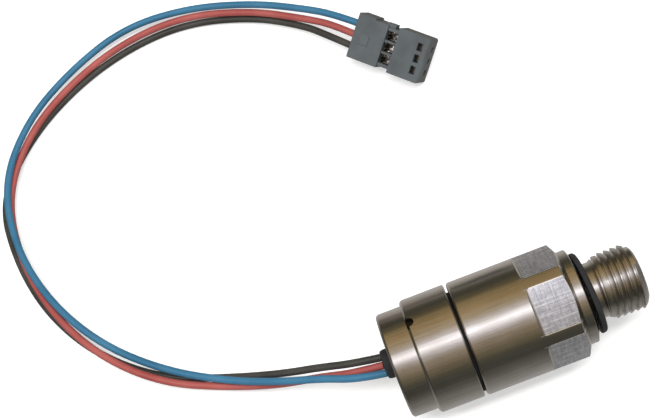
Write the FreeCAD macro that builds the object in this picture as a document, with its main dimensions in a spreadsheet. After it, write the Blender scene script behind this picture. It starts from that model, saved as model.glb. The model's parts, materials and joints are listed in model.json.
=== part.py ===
import FreeCAD, Part
import math
import os
import re

import Sketcher

Vector = FreeCAD.Vector
Rotation = FreeCAD.Rotation
Placement = FreeCAD.Placement

# A small stainless pressure transmitter with a G1/4 stud end and three loose leads on a connector.
# The pressure port's mouth is at the origin and points along +X. The body lies on its side.

SIZES = {
    # pressure connection
    "thread_dia": (13.157, "outside diameter of the G1/4 thread"),
    "thread_tip_dia": (9.8, "front face of the stud"),
    "thread_tip_length": (1.05, "axial length of the lead-in chamfer"),
    "thread_length": (8.6, "threaded stretch, chamfer included"),
    "neck_dia": (11.2, "relief neck behind the thread"),
    "neck_taper_length": (0.55, "thread run-out into the neck"),
    "stud_length": (11.5, "stud tip to sealing shoulder"),
    "port_dia": (5.0, "pressure port bore"),
    "collar_step": (2.05, "sealing collar below the barrel, radial"),
    "collar_length": (2.1, "sealing collar"),
    "collar_bevel_length": (0.5, "front bevel of the collar"),
    "collar_bevel_rise": (1.25, "front bevel of the collar, radial"),
    # barrel
    "body_dia": (23.0, "barrel"),
    "body_length": (22.0, "barrel, with its wrench flats"),
    "body_bevel_length": (1.1, "front bevel of the barrel"),
    "body_bevel_rise": (2.0, "front bevel of the barrel, radial"),
    "body_edge": (0.65, "rear edge of the barrel"),
    "flats_depth": (1.0, "flats below the barrel"),
    "flats_length": (8.65, "wrench flats from the barrel's front"),
    "flats_runout": (0.7, "cutter radius at the flats' shoulder"),
    "flats_bearing": (-15.0, "degrees of one flat from upright towards +Y"),
    "front_wall": (3.15, "barrel front to pressure chamber"),
    "cell_seat": (1.0, "ledge that the cell sits on, radial"),
    "chamber_length": (0.6, "pressure chamber"),
    "lock_ledge": (0.9, "step from the lock ring bore to the cell bore, radial"),
    "cell_bore_length": (4.8, "seat to lock ring bore"),
    "cavity_ledge": (1.1, "step from the cavity to the lock ring bore, radial"),
    "lock_bore_length": (2.9, "lock ring bore"),
    "barrel_wall": (1.9, "barrel round its rear cavity"),
    # groove, ring and cap behind the barrel
    "groove_width": (0.45, "gap between barrel and clamp ring"),
    "groove_depth": (2.2, "gap, radial"),
    "groove_ring_wire": (0.42, "thickness of the black ring in the gap"),
    "groove_ring_slack": (0.44, "how loose that ring is, radial"),
    "clamp_ring_length": (9.25, "clamp ring"),
    "clamp_ring_front_edge": (0.25, "front edge of the clamp ring"),
    "clamp_ring_edge": (0.5, "rear edge of the clamp ring"),
    "clamp_ring_gap": (0.03, "radial clearance over the cap"),
    "notch_depth": (0.7, "staked notch, radial"),
    "notch_length": (1.3, "staked notch, axial"),
    "notch_width": (1.9, "staked notch, across"),
    "notch_bearing": (23.0, "degrees of the notch from upright towards +Y"),
    "clamp_ring_wall": (1.0, "clamp ring with its clearance"),
    "cap_tail_length": (5.2, "cap behind the clamp ring"),
    "cap_edge": (0.45, "rear edge of the cap"),
    "spigot_wall": (0.96, "cap spigot"),
    "cap_wall": (1.3, "rear wall of the cap"),
    "spigot_length": (5.5, "cap spigot inside the barrel"),
    "spigot_gap": (0.04, "radial clearance of the spigot"),
    # seal on the stud
    "seal_width": (2.45, "profile seal ring, radial"),
    "seal_slack": (0.2, "seal ring over the neck, radial"),
    "seal_length": (1.15, "profile seal ring"),
    "seal_bevel": (0.35, "front edge of the seal ring"),
    "seal_skew": (2.5, "degrees that the loose seal sits askew"),
    # pressure cell
    "cell_gap": (0.1, "cell in its bore, radial"),
    "cell_length": (5.0, "cell header"),
    "cell_groove_depth": (1.15, "seal groove"),
    "cell_groove_length": (1.5, "seal groove"),
    "cell_seal_wire": (1.2, "cell seal section"),
    "cell_rim": (3.3, "header round its recess"),
    "cell_recess_depth": (0.8, "recess under the diaphragm"),
    "diaphragm_inset": (1.3, "diaphragm inside the header's edge"),
    "diaphragm_thickness": (0.1, "diaphragm"),
    "chip_side": (2.2, "silicon chip"),
    "chip_thickness": (0.5, "silicon chip"),
    "pin_dia": (0.45, "header pins"),
    "pin_inset": (1.0, "pins inside the recess's edge"),
    "pin_gap": (0.02, "radial clearance round the pins"),
    "pin_tail_length": (0.5, "pins behind the pin board"),
    "lock_ring_length": (2.5, "cell lock ring"),
    "lock_ring_width": (3.3, "cell lock ring, radial"),
    "lock_ring_gap": (0.05, "radial clearance of the lock ring"),
    # electronics
    "sleeve_side_gap": (0.1, "sleeve in the cap, radial"),
    "sleeve_wall": (0.5, "insulating sleeve"),
    "sleeve_gap": (0.1, "sleeve front to lock ring bore"),
    "pin_board_thickness": (1.0, "round board on the pins"),
    "pin_board_offset": (0.3, "round board behind the sleeve's front"),
    "board_gap": (0.05, "boards to the sleeve's wall"),
    "board_part_gap": (1.0, "between equal parts on the board"),
    "board_end_gap": (1.5, "long board to the potting compound"),
    "board_edge": (2.2, "parts inside the board's long edges"),
    "board_thickness": (1.0, "long board"),
    "chip_package_length": (5.0, "amplifier package"),
    "chip_package_width": (4.0, "amplifier package"),
    "chip_package_height": (1.4, "amplifier package"),
    "capacitor_length": (2.0, "board capacitors"),
    "capacitor_width": (1.25, "board capacitors"),
    "capacitor_height": (0.9, "board capacitors"),
    "diode_length": (3.6, "suppressor diodes"),
    "diode_width": (2.4, "suppressor diodes"),
    "diode_height": (1.9, "suppressor diodes"),
    "potting_length": (1.8, "potting compound"),
    # outlet and leads
    "outlet_dia": (5.9, "bush where the leads come out"),
    "outlet_offset": (0.95, "bush beside the axis, towards +Y"),
    "outlet_length": (1.8, "bush behind the cap"),
    "outlet_round": (0.7, "rim of the bush"),
    "outlet_flange_rise": (1.25, "bush inside the cap, radial"),
    "outlet_flange_length": (0.9, "bush inside the cap"),
    "lead_dia": (1.55, "each lead over its insulation"),
    "lead_spacing": (1.65, "leads in the bush"),
    "lead_gap": (0.025, "radial clearance of the leads"),
    "lead_on_board": (4.0, "leads lying on the board"),
    # connector
    "plug_pitch": (2.54, "contact pitch"),
    "plug_width": (9.96, "front block"),
    "plug_height": (5.5, "front block"),
    "plug_tail_length": (7.05, "lead tray and cover"),
    "plug_tail_width": (9.5, "lead tray and cover"),
    "plug_window_length": (2.55, "open section"),
    "plug_window_width": (8.6, "open section"),
    "plug_window_drop": (0.35, "open section below the front block"),
    "plug_front_length": (7.4, "front block"),
    "plug_front_wall": (0.8, "wall round the pin entries"),
    "plug_entry_dia": (1.4, "pin entries"),
    "plug_cavity": (2.04, "contact cavities, width and height"),
    "plug_port_width": (1.7, "latch windows in the top"),
    "plug_port_length": (1.2, "latch windows in the top"),
    "plug_port_from_front": (1.4, "latch windows to the front face"),
    "plug_rib_length": (3.9, "side rib at the rear"),
    "plug_rib_rise": (0.42, "side rib"),
    "plug_latch_length": (2.3, "side latch"),
    "plug_pad_length": (2.1, "raised pad on the cover"),
    "plug_pad_width": (2.5, "raised pad on the cover"),
    "plug_pad_rise": (0.18, "raised pad on the cover"),
    "plug_pad_from_rear": (1.65, "raised pad to the rear face"),
    "plug_x": (-32.7, "rear of the connector, middle of its underside"),
    "plug_y": (74.3, "rear of the connector, middle of its underside"),
    "plug_turn": (-45.0, "degrees, direction in which it points"),
    "plug_roll": (28.0, "degrees, leaning on its lower long edge"),
    "contact_width": (1.3, "contact strip"),
    "contact_thickness": (0.3, "contact strip"),
    "contact_box_width": (1.9, "contact receptacle"),
    "contact_box_length": (3.6, "contact receptacle"),
    "contact_fork_slot": (0.5, "slot that cuts the insulation"),
    "contact_wing_length": (1.5, "bent-up wings behind the fork"),
    "contact_wing_height": (1.5, "bent-up wings"),
}

# Diameters that follow from the ones above, so that everything nests at any size.
FITS = {
    "collar_dia": ("body_dia - collar_step * 2", "sealing collar"),
    "flats_across": ("body_dia - flats_depth * 2", "wrench size"),
    "cavity_dia": ("body_dia - barrel_wall * 2", "rear cavity of the barrel"),
    "lock_bore_dia": ("cavity_dia - cavity_ledge * 2", "bore that takes the lock ring"),
    "cell_bore_dia": ("lock_bore_dia - lock_ledge * 2", "bore that takes the cell"),
    "chamber_dia": ("cell_bore_dia - cell_seat * 2", "pressure chamber ahead of the cell"),
    "groove_floor_dia": ("body_dia - groove_depth * 2", "floor of the gap behind the barrel"),
    "groove_ring_dia": ("groove_floor_dia + groove_ring_slack * 2 + groove_ring_wire", "mean diameter"),
    "cap_dia": ("body_dia - clamp_ring_wall * 2", "rear cap"),
    "cap_bore_dia": ("cavity_dia - spigot_gap * 2 - spigot_wall * 2", "inside of the cap"),
    "seal_bore_dia": ("neck_dia + seal_slack * 2", "profile seal ring"),
    "seal_dia": ("seal_bore_dia + seal_width * 2", "profile seal ring"),
    "cell_dia": ("cell_bore_dia - cell_gap * 2", "cell header"),
    "cell_groove_dia": ("cell_dia - cell_groove_depth * 2", "seal groove floor"),
    "cell_recess_dia": ("cell_dia - cell_rim * 2", "recess under the diaphragm"),
    "diaphragm_dia": ("cell_dia - diaphragm_inset * 2", "diaphragm"),
    "pin_circle_dia": ("cell_recess_dia - pin_inset * 2", "header pins"),
    "lock_ring_bore_dia": ("lock_bore_dia - lock_ring_width * 2", "cell lock ring"),
    "sleeve_dia": ("cap_bore_dia - sleeve_side_gap * 2", "insulating sleeve"),
    "outlet_flange_dia": ("outlet_dia + outlet_flange_rise * 2", "bush inside the cap"),
}

NAMED = {*SIZES, *FITS}
PIN_COUNT = 5
FLAT_COUNT = 6
ARC_SHARE = 0.45

doc = FreeCAD.newDocument("PressureTransmitter")
sheet = doc.addObject("Spreadsheet::Sheet", "Dims")
for row, (alias, (value, note)) in enumerate([*SIZES.items(), *FITS.items()], start=1):
    sheet.set(f"A{row}", note)
    sheet.set(f"B{row}", f"={value}")
    sheet.setAlias(f"B{row}", alias)
doc.recompute()


def size(alias):
    """Value of a named dimension."""
    return float(sheet.get(alias))


def bound(text):
    """Formula over named dimensions, in the form that setExpression takes."""
    return re.sub("[a-z_]+", lambda word: ("Dims." if word[0] in NAMED else "") + word[0], text)


# Stations along the axis, as depths behind the stud's tip.
BODY_FRONT = "stud_length + collar_length"
BODY_REAR = BODY_FRONT + " + body_length"
CHAMBER_FRONT = BODY_FRONT + " + front_wall"
CELL_FRONT = CHAMBER_FRONT + " + chamber_length"
CELL_REAR = CELL_FRONT + " + cell_length"
LOCK_BORE_FRONT = CELL_FRONT + " + cell_bore_length"
CAVITY_FRONT = LOCK_BORE_FRONT + " + lock_bore_length"
SPIGOT_FRONT = BODY_REAR + " - spigot_length"
RING_FRONT = BODY_REAR + " + groove_width"
RING_REAR = RING_FRONT + " + clamp_ring_length"
CAP_REAR = RING_REAR + " + cap_tail_length"
CAP_FLOOR = CAP_REAR + " - cap_wall"
OUTLET_FRONT = CAP_FLOOR + " - outlet_flange_length"
OUTLET_REAR = CAP_REAR + " + outlet_length"
SLEEVE_FRONT = CAVITY_FRONT + " + sleeve_gap"
PIN_BOARD_FRONT = SLEEVE_FRONT + " + pin_board_offset"
BOARD_FRONT = PIN_BOARD_FRONT + " + pin_board_thickness"
BOARD_TOP = "( 0 - lead_dia / 2 )"
POTTING_FRONT = OUTLET_FRONT + " - potting_length"
BOARD_REAR = POTTING_FRONT + " - board_end_gap"


def rolled(bearing):
    """Placement of a turned piece whose own +Y comes to this bearing from upright towards +Y."""
    rearward = Rotation(Vector(0, 0, 1), 180)
    return Placement(Vector(), Rotation(Vector(1, 0, 0), -90 - bearing).multiply(rearward))


def attached_sketch(body, name, plane):
    """Sketch on one of the body's own origin planes."""
    sketch = body.newObject("Sketcher::SketchObject", name)
    support = next(part for part in body.Origin.OriginFeatures if part.Role == plane)
    sketch.AttachmentSupport = (support, [""])
    sketch.MapMode = "FlatFace"
    return sketch


def dimension(sketch, kind, *where, formula):
    """Dimensional constraint bound to a formula over the sheet."""
    index = sketch.addConstraint(Sketcher.Constraint(kind, *where, 1.0))
    sketch.setExpression(f"Constraints[{index}]", bound(formula))


def closed_outline(sketch, corners):
    """Closed polygon whose corners are (depth, radius) formulas; "0" puts a corner on that axis."""
    count = len(corners)
    for number in range(count):
        start = Vector(number + 1, 1 + number % 3, 0)
        end = Vector((number + 1) % count + 1, 1 + (number + 1) % count % 3, 0)
        sketch.addGeometry(Part.LineSegment(start, end), False)
    for number, (depth, radius) in enumerate(corners):
        sketch.addConstraint(Sketcher.Constraint("Coincident", number, 1, (number - 1) % count, 2))
        if depth == "0":
            sketch.addConstraint(Sketcher.Constraint("PointOnObject", number, 1, -2))
        else:
            dimension(sketch, "DistanceX", number, 1, formula=depth)
        if radius == "0":
            sketch.addConstraint(Sketcher.Constraint("PointOnObject", number, 1, -1))
        else:
            dimension(sketch, "DistanceY", number, 1, formula=radius)


def turned(label, corners, bearing=0):
    """Piece turned about the axis from its closed half section."""
    body = doc.addObject("PartDesign::Body", label)
    sketch = attached_sketch(body, label + "_section", "XY_Plane")
    closed_outline(sketch, corners)
    spin = body.newObject("PartDesign::Revolution", label + "_turning")
    spin.Profile = sketch
    spin.ReferenceAxis = (sketch, ["H_Axis"])
    spin.Angle = 360
    body.Placement = rolled(bearing)
    return body


def cut_through(body, sketch, name):
    """Pocket that runs right through the piece, both ways from its sketch."""
    pocket = body.newObject("PartDesign::Pocket", name)
    pocket.Profile = sketch
    pocket.SideType = "Symmetric"
    pocket.Type = "ThroughAll"
    return pocket


def cross_holes(body, name, centres, diameter):
    """Holes along the axis at (across, up) formulas, in the piece's own frame."""
    sketch = attached_sketch(body, name + "_circles", "YZ_Plane")
    for number, (across, up) in enumerate(centres):
        sketch.addGeometry(Part.Circle(Vector(number, 1, 0), Vector(0, 0, 1), 0.2), False)
        for kind, formula, other_axis in (("DistanceX", across, -2), ("DistanceY", up, -1)):
            if formula == "0":
                sketch.addConstraint(Sketcher.Constraint("PointOnObject", number, 3, other_axis))
            else:
                dimension(sketch, kind, number, 3, formula=formula)
        dimension(sketch, "Radius", number, formula=f"( {diameter} ) / 2")
    return cut_through(body, sketch, name)


def round_pattern(body, feature, count):
    """Copies of a cut, evenly round the axis."""
    axis = next(part for part in body.Origin.OriginFeatures if part.Role == "X_Axis")
    pattern = body.newObject("PartDesign::PolarPattern", feature.Name + "_pattern")
    pattern.Originals = [feature]
    pattern.Axis = (axis, [""])
    pattern.Angle = 360
    pattern.Occurrences = count
    body.Tip = pattern


def set_formulas(thing, formulas):
    for name, formula in formulas.items():
        thing.setExpression(name, bound(formula))


def box(label, corner, lengths):
    """Block from its lowest corner and its lengths, all formulas."""
    block = doc.addObject("Part::Box", label)
    names = ("Placement.Base.x", "Placement.Base.y", "Placement.Base.z", "Length", "Width", "Height")
    set_formulas(block, dict(zip(names, corner + lengths)))
    return block


def rod(label, start, diameter, length):
    """Round bar along +X from its start, all formulas."""
    bar = doc.addObject("Part::Cylinder", label)
    bar.Placement = Placement(Vector(), Rotation(Vector(0, 1, 0), 90))
    names = ("Placement.Base.x", "Placement.Base.y", "Placement.Base.z")
    set_formulas(bar, dict(zip(names, start)))
    set_formulas(bar, {"Radius": f"( {diameter} ) / 2", "Height": length})
    return bar


def group(label, members):
    """Separate solids that share one node."""
    together = doc.addObject("Part::Compound", label)
    together.Links = members
    return together


def joined(label, members):
    whole = doc.addObject("Part::MultiFuse", label)
    whole.Shapes = members
    return whole


def without(label, base, tools):
    """The base with every tool cut away."""
    cut = doc.addObject("Part::Cut", label)
    cut.Base = base
    cut.Tool = tools[0] if len(tools) == 1 else group(label + "_tools", tools)
    return cut


def o_ring(label, depth, mean_diameter, wire, shift="0"):
    ring = doc.addObject("Part::Torus", label)
    ring.Placement = Placement(Vector(), Rotation(Vector(0, 1, 0), 90))
    set_formulas(ring, {
        "Radius1": f"( {mean_diameter} ) / 2",
        "Radius2": f"( {wire} ) / 2",
        "Placement.Base.x": f"0 - ( {depth} )",
        "Placement.Base.y": shift,
    })
    return ring


def wrench_flats(body):
    """Six milled flats, with the cutter's radius at their shoulder."""
    sketch = attached_sketch(body, "flat_section", "XY_Plane")
    front = size("stud_length") + size("collar_length")
    shoulder = front + size("flats_length")
    floor = size("flats_across") / 2
    runout = size("flats_runout")
    rim = size("body_dia")
    corners = [
        Vector(front - 1, floor, 0),
        Vector(shoulder - runout, floor, 0),
        Vector(shoulder, floor + runout, 0),
        Vector(shoulder, rim, 0),
        Vector(front - 1, rim, 0),
    ]
    arc_start, arc_end = corners[1], corners[2]
    sweep = runout * math.sqrt(0.5)
    arc_middle = Vector(shoulder - runout + sweep, floor + runout - sweep, 0)
    sketch.addGeometry(Part.LineSegment(corners[0], arc_start), False)
    sketch.addGeometry(Part.Arc(arc_start, arc_middle, arc_end), False)
    sketch.addGeometry(Part.LineSegment(arc_end, corners[3]), False)
    sketch.addGeometry(Part.LineSegment(corners[3], corners[4]), False)
    sketch.addGeometry(Part.LineSegment(corners[4], corners[0]), False)
    for line, end, following in ((2, 2, 3), (3, 2, 4), (4, 2, 0)):
        sketch.addConstraint(Sketcher.Constraint("Coincident", line, end, following, 1))
    sketch.addConstraint(Sketcher.Constraint("Tangent", 0, 2, 1, 1))
    sketch.addConstraint(Sketcher.Constraint("Tangent", 1, 2, 2, 1))
    sketch.addConstraint(Sketcher.Constraint("Horizontal", 0))
    sketch.addConstraint(Sketcher.Constraint("Vertical", 2))
    sketch.addConstraint(Sketcher.Constraint("Horizontal", 3))
    sketch.addConstraint(Sketcher.Constraint("Vertical", 4))
    dimension(sketch, "DistanceX", 4, 2, formula=BODY_FRONT + " - collar_length / 2")
    dimension(sketch, "DistanceY", 0, 1, formula="flats_across / 2")
    dimension(sketch, "DistanceX", 2, 2, formula=BODY_FRONT + " + flats_length")
    dimension(sketch, "DistanceY", 2, 2, formula="body_dia")
    dimension(sketch, "Radius", 1, formula="flats_runout")
    round_pattern(body, cut_through(body, sketch, "wrench_flat"), FLAT_COUNT)


def main_housing():
    """Stud, collar and barrel, turned in one piece and bored from both ends."""
    housing = turned("main_housing", [
        ("0", "port_dia / 2"),
        ("0", "thread_tip_dia / 2"),
        ("thread_tip_length", "thread_dia / 2"),
        ("thread_length", "thread_dia / 2"),
        ("thread_length + neck_taper_length", "neck_dia / 2"),
        ("stud_length", "neck_dia / 2"),
        ("stud_length", "collar_dia / 2 - collar_bevel_rise"),
        ("stud_length + collar_bevel_length", "collar_dia / 2"),
        (BODY_FRONT, "collar_dia / 2"),
        (BODY_FRONT, "body_dia / 2 - body_bevel_rise"),
        (BODY_FRONT + " + body_bevel_length", "body_dia / 2"),
        (BODY_REAR + " - body_edge", "body_dia / 2"),
        (BODY_REAR, "body_dia / 2 - body_edge"),
        (BODY_REAR, "cavity_dia / 2"),
        (CAVITY_FRONT, "cavity_dia / 2"),
        (CAVITY_FRONT, "lock_bore_dia / 2"),
        (LOCK_BORE_FRONT, "lock_bore_dia / 2"),
        (LOCK_BORE_FRONT, "cell_bore_dia / 2"),
        (CELL_FRONT, "cell_bore_dia / 2"),
        (CELL_FRONT, "chamber_dia / 2"),
        (CHAMBER_FRONT, "chamber_dia / 2"),
        (CHAMBER_FRONT, "port_dia / 2"),
    ], size("flats_bearing"))
    wrench_flats(housing)
    return housing


def port_seal_ring():
    """Profile seal ring, lying a little askew against the shoulder."""
    ring = turned("port_seal_ring", [
        ("0", "seal_bore_dia / 2"),
        ("0", "seal_dia / 2"),
        ("seal_length - seal_bevel", "seal_dia / 2"),
        ("seal_length", "seal_dia / 2 - seal_bevel"),
        ("seal_length", "seal_bore_dia / 2"),
    ])
    skew = size("seal_skew")
    lift = size("seal_dia") / 2 * math.sin(math.radians(skew))
    ring.Placement = Placement(Vector(lift - size("stud_length"), 0, 0), Rotation(Vector(0, 0, 1), skew))
    return ring


def clamp_ring():
    """Ring over the cap, with one notch staked into its rear edge."""
    bore = "cap_dia / 2 + clamp_ring_gap"
    ring = turned("clamp_ring", [
        (RING_FRONT, bore),
        (RING_FRONT, "body_dia / 2 - clamp_ring_front_edge"),
        (RING_FRONT + " + clamp_ring_front_edge", "body_dia / 2"),
        (RING_REAR + " - clamp_ring_edge", "body_dia / 2"),
        (RING_REAR, "body_dia / 2 - clamp_ring_edge"),
        (RING_REAR, bore),
    ], size("notch_bearing"))
    sketch = attached_sketch(ring, "notch_section", "XY_Plane")
    closed_outline(sketch, [
        (RING_REAR + " - notch_length", "body_dia / 2 - notch_depth"),
        (RING_REAR + " + notch_length", "body_dia / 2 - notch_depth"),
        (RING_REAR + " + notch_length", "body_dia"),
        (RING_REAR + " - notch_length", "body_dia"),
    ])
    notch = ring.newObject("PartDesign::Pocket", "notch")
    notch.Profile = sketch
    notch.SideType = "Symmetric"
    set_formulas(notch, {"Length": "notch_width"})
    return ring


def rear_cap():
    """Cap pressed into the barrel, which leaves the groove and carries the clamp ring."""
    cap = turned("rear_cap", [
        (SPIGOT_FRONT, "cap_bore_dia / 2"),
        (SPIGOT_FRONT, "cavity_dia / 2 - spigot_gap"),
        (BODY_REAR, "cavity_dia / 2 - spigot_gap"),
        (BODY_REAR, "groove_floor_dia / 2"),
        (RING_FRONT, "groove_floor_dia / 2"),
        (RING_FRONT, "cap_dia / 2"),
        (CAP_REAR + " - cap_edge", "cap_dia / 2"),
        (CAP_REAR, "cap_dia / 2 - cap_edge"),
        (CAP_REAR, "0"),
        (CAP_FLOOR, "0"),
        (CAP_FLOOR, "cap_bore_dia / 2"),
    ], -90)
    cross_holes(cap, "outlet_hole", [("0 - outlet_offset", "0")], "outlet_dia + lead_gap * 2")
    return cap


def lead_centres(middle):
    """Middles of the three leads, side by side; a turned piece's own +Y is the model's -Y."""
    return [(middle + " + lead_spacing", "0"), (middle, "0"), (middle + " - lead_spacing", "0")]


def cable_grommet():
    """Bush in the cap's rear wall, with a hole for each lead."""
    bush = turned("cable_grommet", [
        (OUTLET_FRONT, "0"),
        (OUTLET_FRONT, "outlet_flange_dia / 2"),
        (CAP_FLOOR, "outlet_flange_dia / 2"),
        (CAP_FLOOR, "outlet_dia / 2"),
        (OUTLET_REAR + " - outlet_round", "outlet_dia / 2"),
        (OUTLET_REAR, "outlet_dia / 2 - outlet_round / 2"),
        (OUTLET_REAR, "0"),
    ], -90)
    cross_holes(bush, "bush_hole", lead_centres("0"), "lead_dia + lead_gap * 2")
    bush.Placement.Base.y = size("outlet_offset")
    return bush


def potting_disc():
    """Compound that closes the sleeve behind the board."""
    disc = turned("potting_disc", [
        (POTTING_FRONT, "0"),
        (POTTING_FRONT, "sleeve_dia / 2 - sleeve_wall"),
        (OUTLET_FRONT, "sleeve_dia / 2 - sleeve_wall"),
        (OUTLET_FRONT, "0"),
    ], -90)
    cross_holes(disc, "potting_hole", lead_centres("0 - outlet_offset"), "lead_dia + lead_gap * 2")
    return disc


def cell_header():
    """Steel body of the pressure cell, with a recess, a seal groove and pin holes."""
    groove_front = CELL_FRONT + " + cell_length / 2 - cell_groove_length / 2"
    header = turned("cell_header", [
        (CELL_FRONT + " + cell_recess_depth", "0"),
        (CELL_FRONT + " + cell_recess_depth", "cell_recess_dia / 2"),
        (CELL_FRONT, "cell_recess_dia / 2"),
        (CELL_FRONT, "cell_dia / 2"),
        (groove_front, "cell_dia / 2"),
        (groove_front, "cell_groove_dia / 2"),
        (groove_front + " + cell_groove_length", "cell_groove_dia / 2"),
        (groove_front + " + cell_groove_length", "cell_dia / 2"),
        (CELL_REAR, "cell_dia / 2"),
        (CELL_REAR, "0"),
    ])
    pin_holes(header, "header_hole")
    return header


def pin_holes(body, name):
    hole = cross_holes(body, name, [("pin_circle_dia / 2", "0")], "pin_dia + pin_gap * 2")
    round_pattern(body, hole, PIN_COUNT)


def header_pins():
    """Pins from the cell's recess to just behind the pin board."""
    front = CELL_FRONT + " + cell_recess_depth"
    length = f"( {BOARD_FRONT} ) - ( {front} ) + pin_tail_length"
    pins = []
    for number in range(PIN_COUNT):
        turn = 90 + number * 360 / PIN_COUNT
        start = (
            f"0 - ( {front} ) - ( {length} )",
            f"pin_circle_dia / 2 * cos({turn} deg)",
            f"pin_circle_dia / 2 * sin({turn} deg)",
        )
        pins.append(rod(f"pin_{number + 1}", start, "pin_dia", length))
    return group("header_pins", pins)


def disc(label, front, rear, diameter):
    return turned(label, [(front, "0"), (front, diameter + " / 2"), (rear, diameter + " / 2"), (rear, "0")])


def pressure_cell():
    """Everything between the chamber floor and the lock ring."""
    sensor_chip = box(
        "sensor_chip",
        (f"0 - ( {CELL_FRONT} ) - cell_recess_depth", "0 - chip_side / 2", "0 - chip_side / 2"),
        ("chip_thickness", "chip_side", "chip_side"),
    )
    middle = CELL_FRONT + " + cell_length / 2"
    lock_outer = "lock_bore_dia / 2 - lock_ring_gap"
    lock_ring = turned("cell_lock_ring", [
        (CELL_REAR, "lock_ring_bore_dia / 2"),
        (CELL_REAR, lock_outer),
        (CELL_REAR + " + lock_ring_length", lock_outer),
        (CELL_REAR + " + lock_ring_length", "lock_ring_bore_dia / 2"),
    ])
    return [
        cell_header(),
        disc("cell_diaphragm", CELL_FRONT + " - diaphragm_thickness", CELL_FRONT, "diaphragm_dia"),
        o_ring("cell_seal", middle, "cell_groove_dia + cell_seal_wire", "cell_seal_wire"),
        sensor_chip,
        header_pins(),
        lock_ring,
    ]


BOARD_REACH = "( sleeve_dia / 2 - sleeve_wall - board_gap )"
BOARD_UNDERSIDE = "( lead_dia / 2 + board_thickness )"
BOARD_HALF_WIDTH = f"sqrt({BOARD_REACH} * {BOARD_REACH} - {BOARD_UNDERSIDE} * {BOARD_UNDERSIDE})"


def on_board(label, behind, across, lengths):
    """Part on the long board: its rear end, its lower side across and its three lengths."""
    corner = (f"0 - ( {BOARD_FRONT} ) - ( {behind} )", across, BOARD_TOP)
    return box(label, corner, lengths)


def board_row(label, count, across, part):
    """Equal parts in a row along one edge of the board, a part's own length in from its front."""
    lengths = (f"{part}_length", f"{part}_width", f"{part}_height")
    members = []
    for number in range(count):
        behind = f"{part}_length * 2 + {number} * ( {part}_length + board_part_gap )"
        members.append(on_board(f"{part}_{number + 1}", behind, across, lengths))
    return group(label, members)


def electronics():
    """Sleeve, boards and the parts on them."""
    sleeve = turned("insulating_sleeve", [
        (SLEEVE_FRONT, "sleeve_dia / 2 - sleeve_wall"),
        (SLEEVE_FRONT, "sleeve_dia / 2"),
        (OUTLET_FRONT, "sleeve_dia / 2"),
        (OUTLET_FRONT, "sleeve_dia / 2 - sleeve_wall"),
    ])
    pin_board = disc("pin_board", PIN_BOARD_FRONT, BOARD_FRONT, f"( {BOARD_REACH} * 2 )")
    pin_holes(pin_board, "board_hole")
    board = box(
        "circuit_board",
        (f"0 - ( {BOARD_REAR} )", f"0 - {BOARD_HALF_WIDTH}", f"0 - {BOARD_UNDERSIDE}"),
        (f"{BOARD_REAR} - ( {BOARD_FRONT} )", f"2 * {BOARD_HALF_WIDTH}", "board_thickness"),
    )
    amplifier = on_board(
        "amplifier_chip",
        "chip_package_length * 2",
        "0 - chip_package_width / 2",
        ("chip_package_length", "chip_package_width", "chip_package_height"),
    )
    return [
        sleeve,
        pin_board,
        board,
        amplifier,
        board_row("board_capacitors", 4, f"board_edge - {BOARD_HALF_WIDTH}", "capacitor"),
        board_row("suppressor_diodes", 2, f"{BOARD_HALF_WIDTH} - board_edge - diode_width", "diode"),
        board_leads(),
    ]


def board_leads():
    """Ends of the three leads, from the board to the bush's rear face."""
    length = f"( {OUTLET_REAR} ) - ( {BOARD_REAR} ) + lead_on_board"
    ends = []
    for number in range(3):
        start = (f"0 - ( {OUTLET_REAR} )", f"lead_spacing * {number - 1} + outlet_offset", "0")
        ends.append(rod(f"board_lead_{number + 1}", start, "lead_dia", length))
    return group("board_leads", ends)


def plug_frame():
    """Connector's own frame: +X out of its pin end, +Z out of its top, lower long edge on the surface."""
    roll = size("plug_roll")
    edge_drop = size("plug_width") / 2 * math.sin(math.radians(roll))
    base = Vector(size("plug_x"), size("plug_y"), edge_drop - size("body_dia") / 2)
    turn = Rotation(Vector(0, 0, 1), size("plug_turn"))
    return Placement(base, turn.multiply(Rotation(Vector(1, 0, 0), roll)))


PLUG_AXIS = "plug_height / 2"
WINDOW_FRONT = "plug_tail_length + plug_window_length"
PLUG_FRONT = WINDOW_FRONT + " + plug_front_length"
CAVITY_WALL = "( plug_pitch - plug_cavity ) / 2"


def way_across(number):
    """Middle of one of the three ways, across the connector."""
    return f"plug_pitch * {number - 1}"


def plug_tail(label, floor, height):
    """One half of the connector's tail, with its side rib and latches, before its lead grooves are cut."""
    half = "plug_tail_width / 2"
    rib_inset = "plug_rib_rise"
    return [
        box(label + "_slab", ("0", f"0 - {half}", floor), ("plug_tail_length", "plug_tail_width", height)),
        box(
            label + "_rib",
            ("0", f"{half} - {rib_inset}", floor),
            ("plug_rib_length", "plug_rib_rise * 2", height),
        ),
    ]


def lead_grooves(label):
    grooves = []
    for number in range(3):
        start = ("0 - plug_pitch", way_across(number), PLUG_AXIS)
        length = "plug_tail_length + plug_pitch * 2"
        grooves.append(rod(f"{label}_groove_{number + 1}", start, "lead_dia + lead_gap * 2", length))
    return grooves


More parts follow.
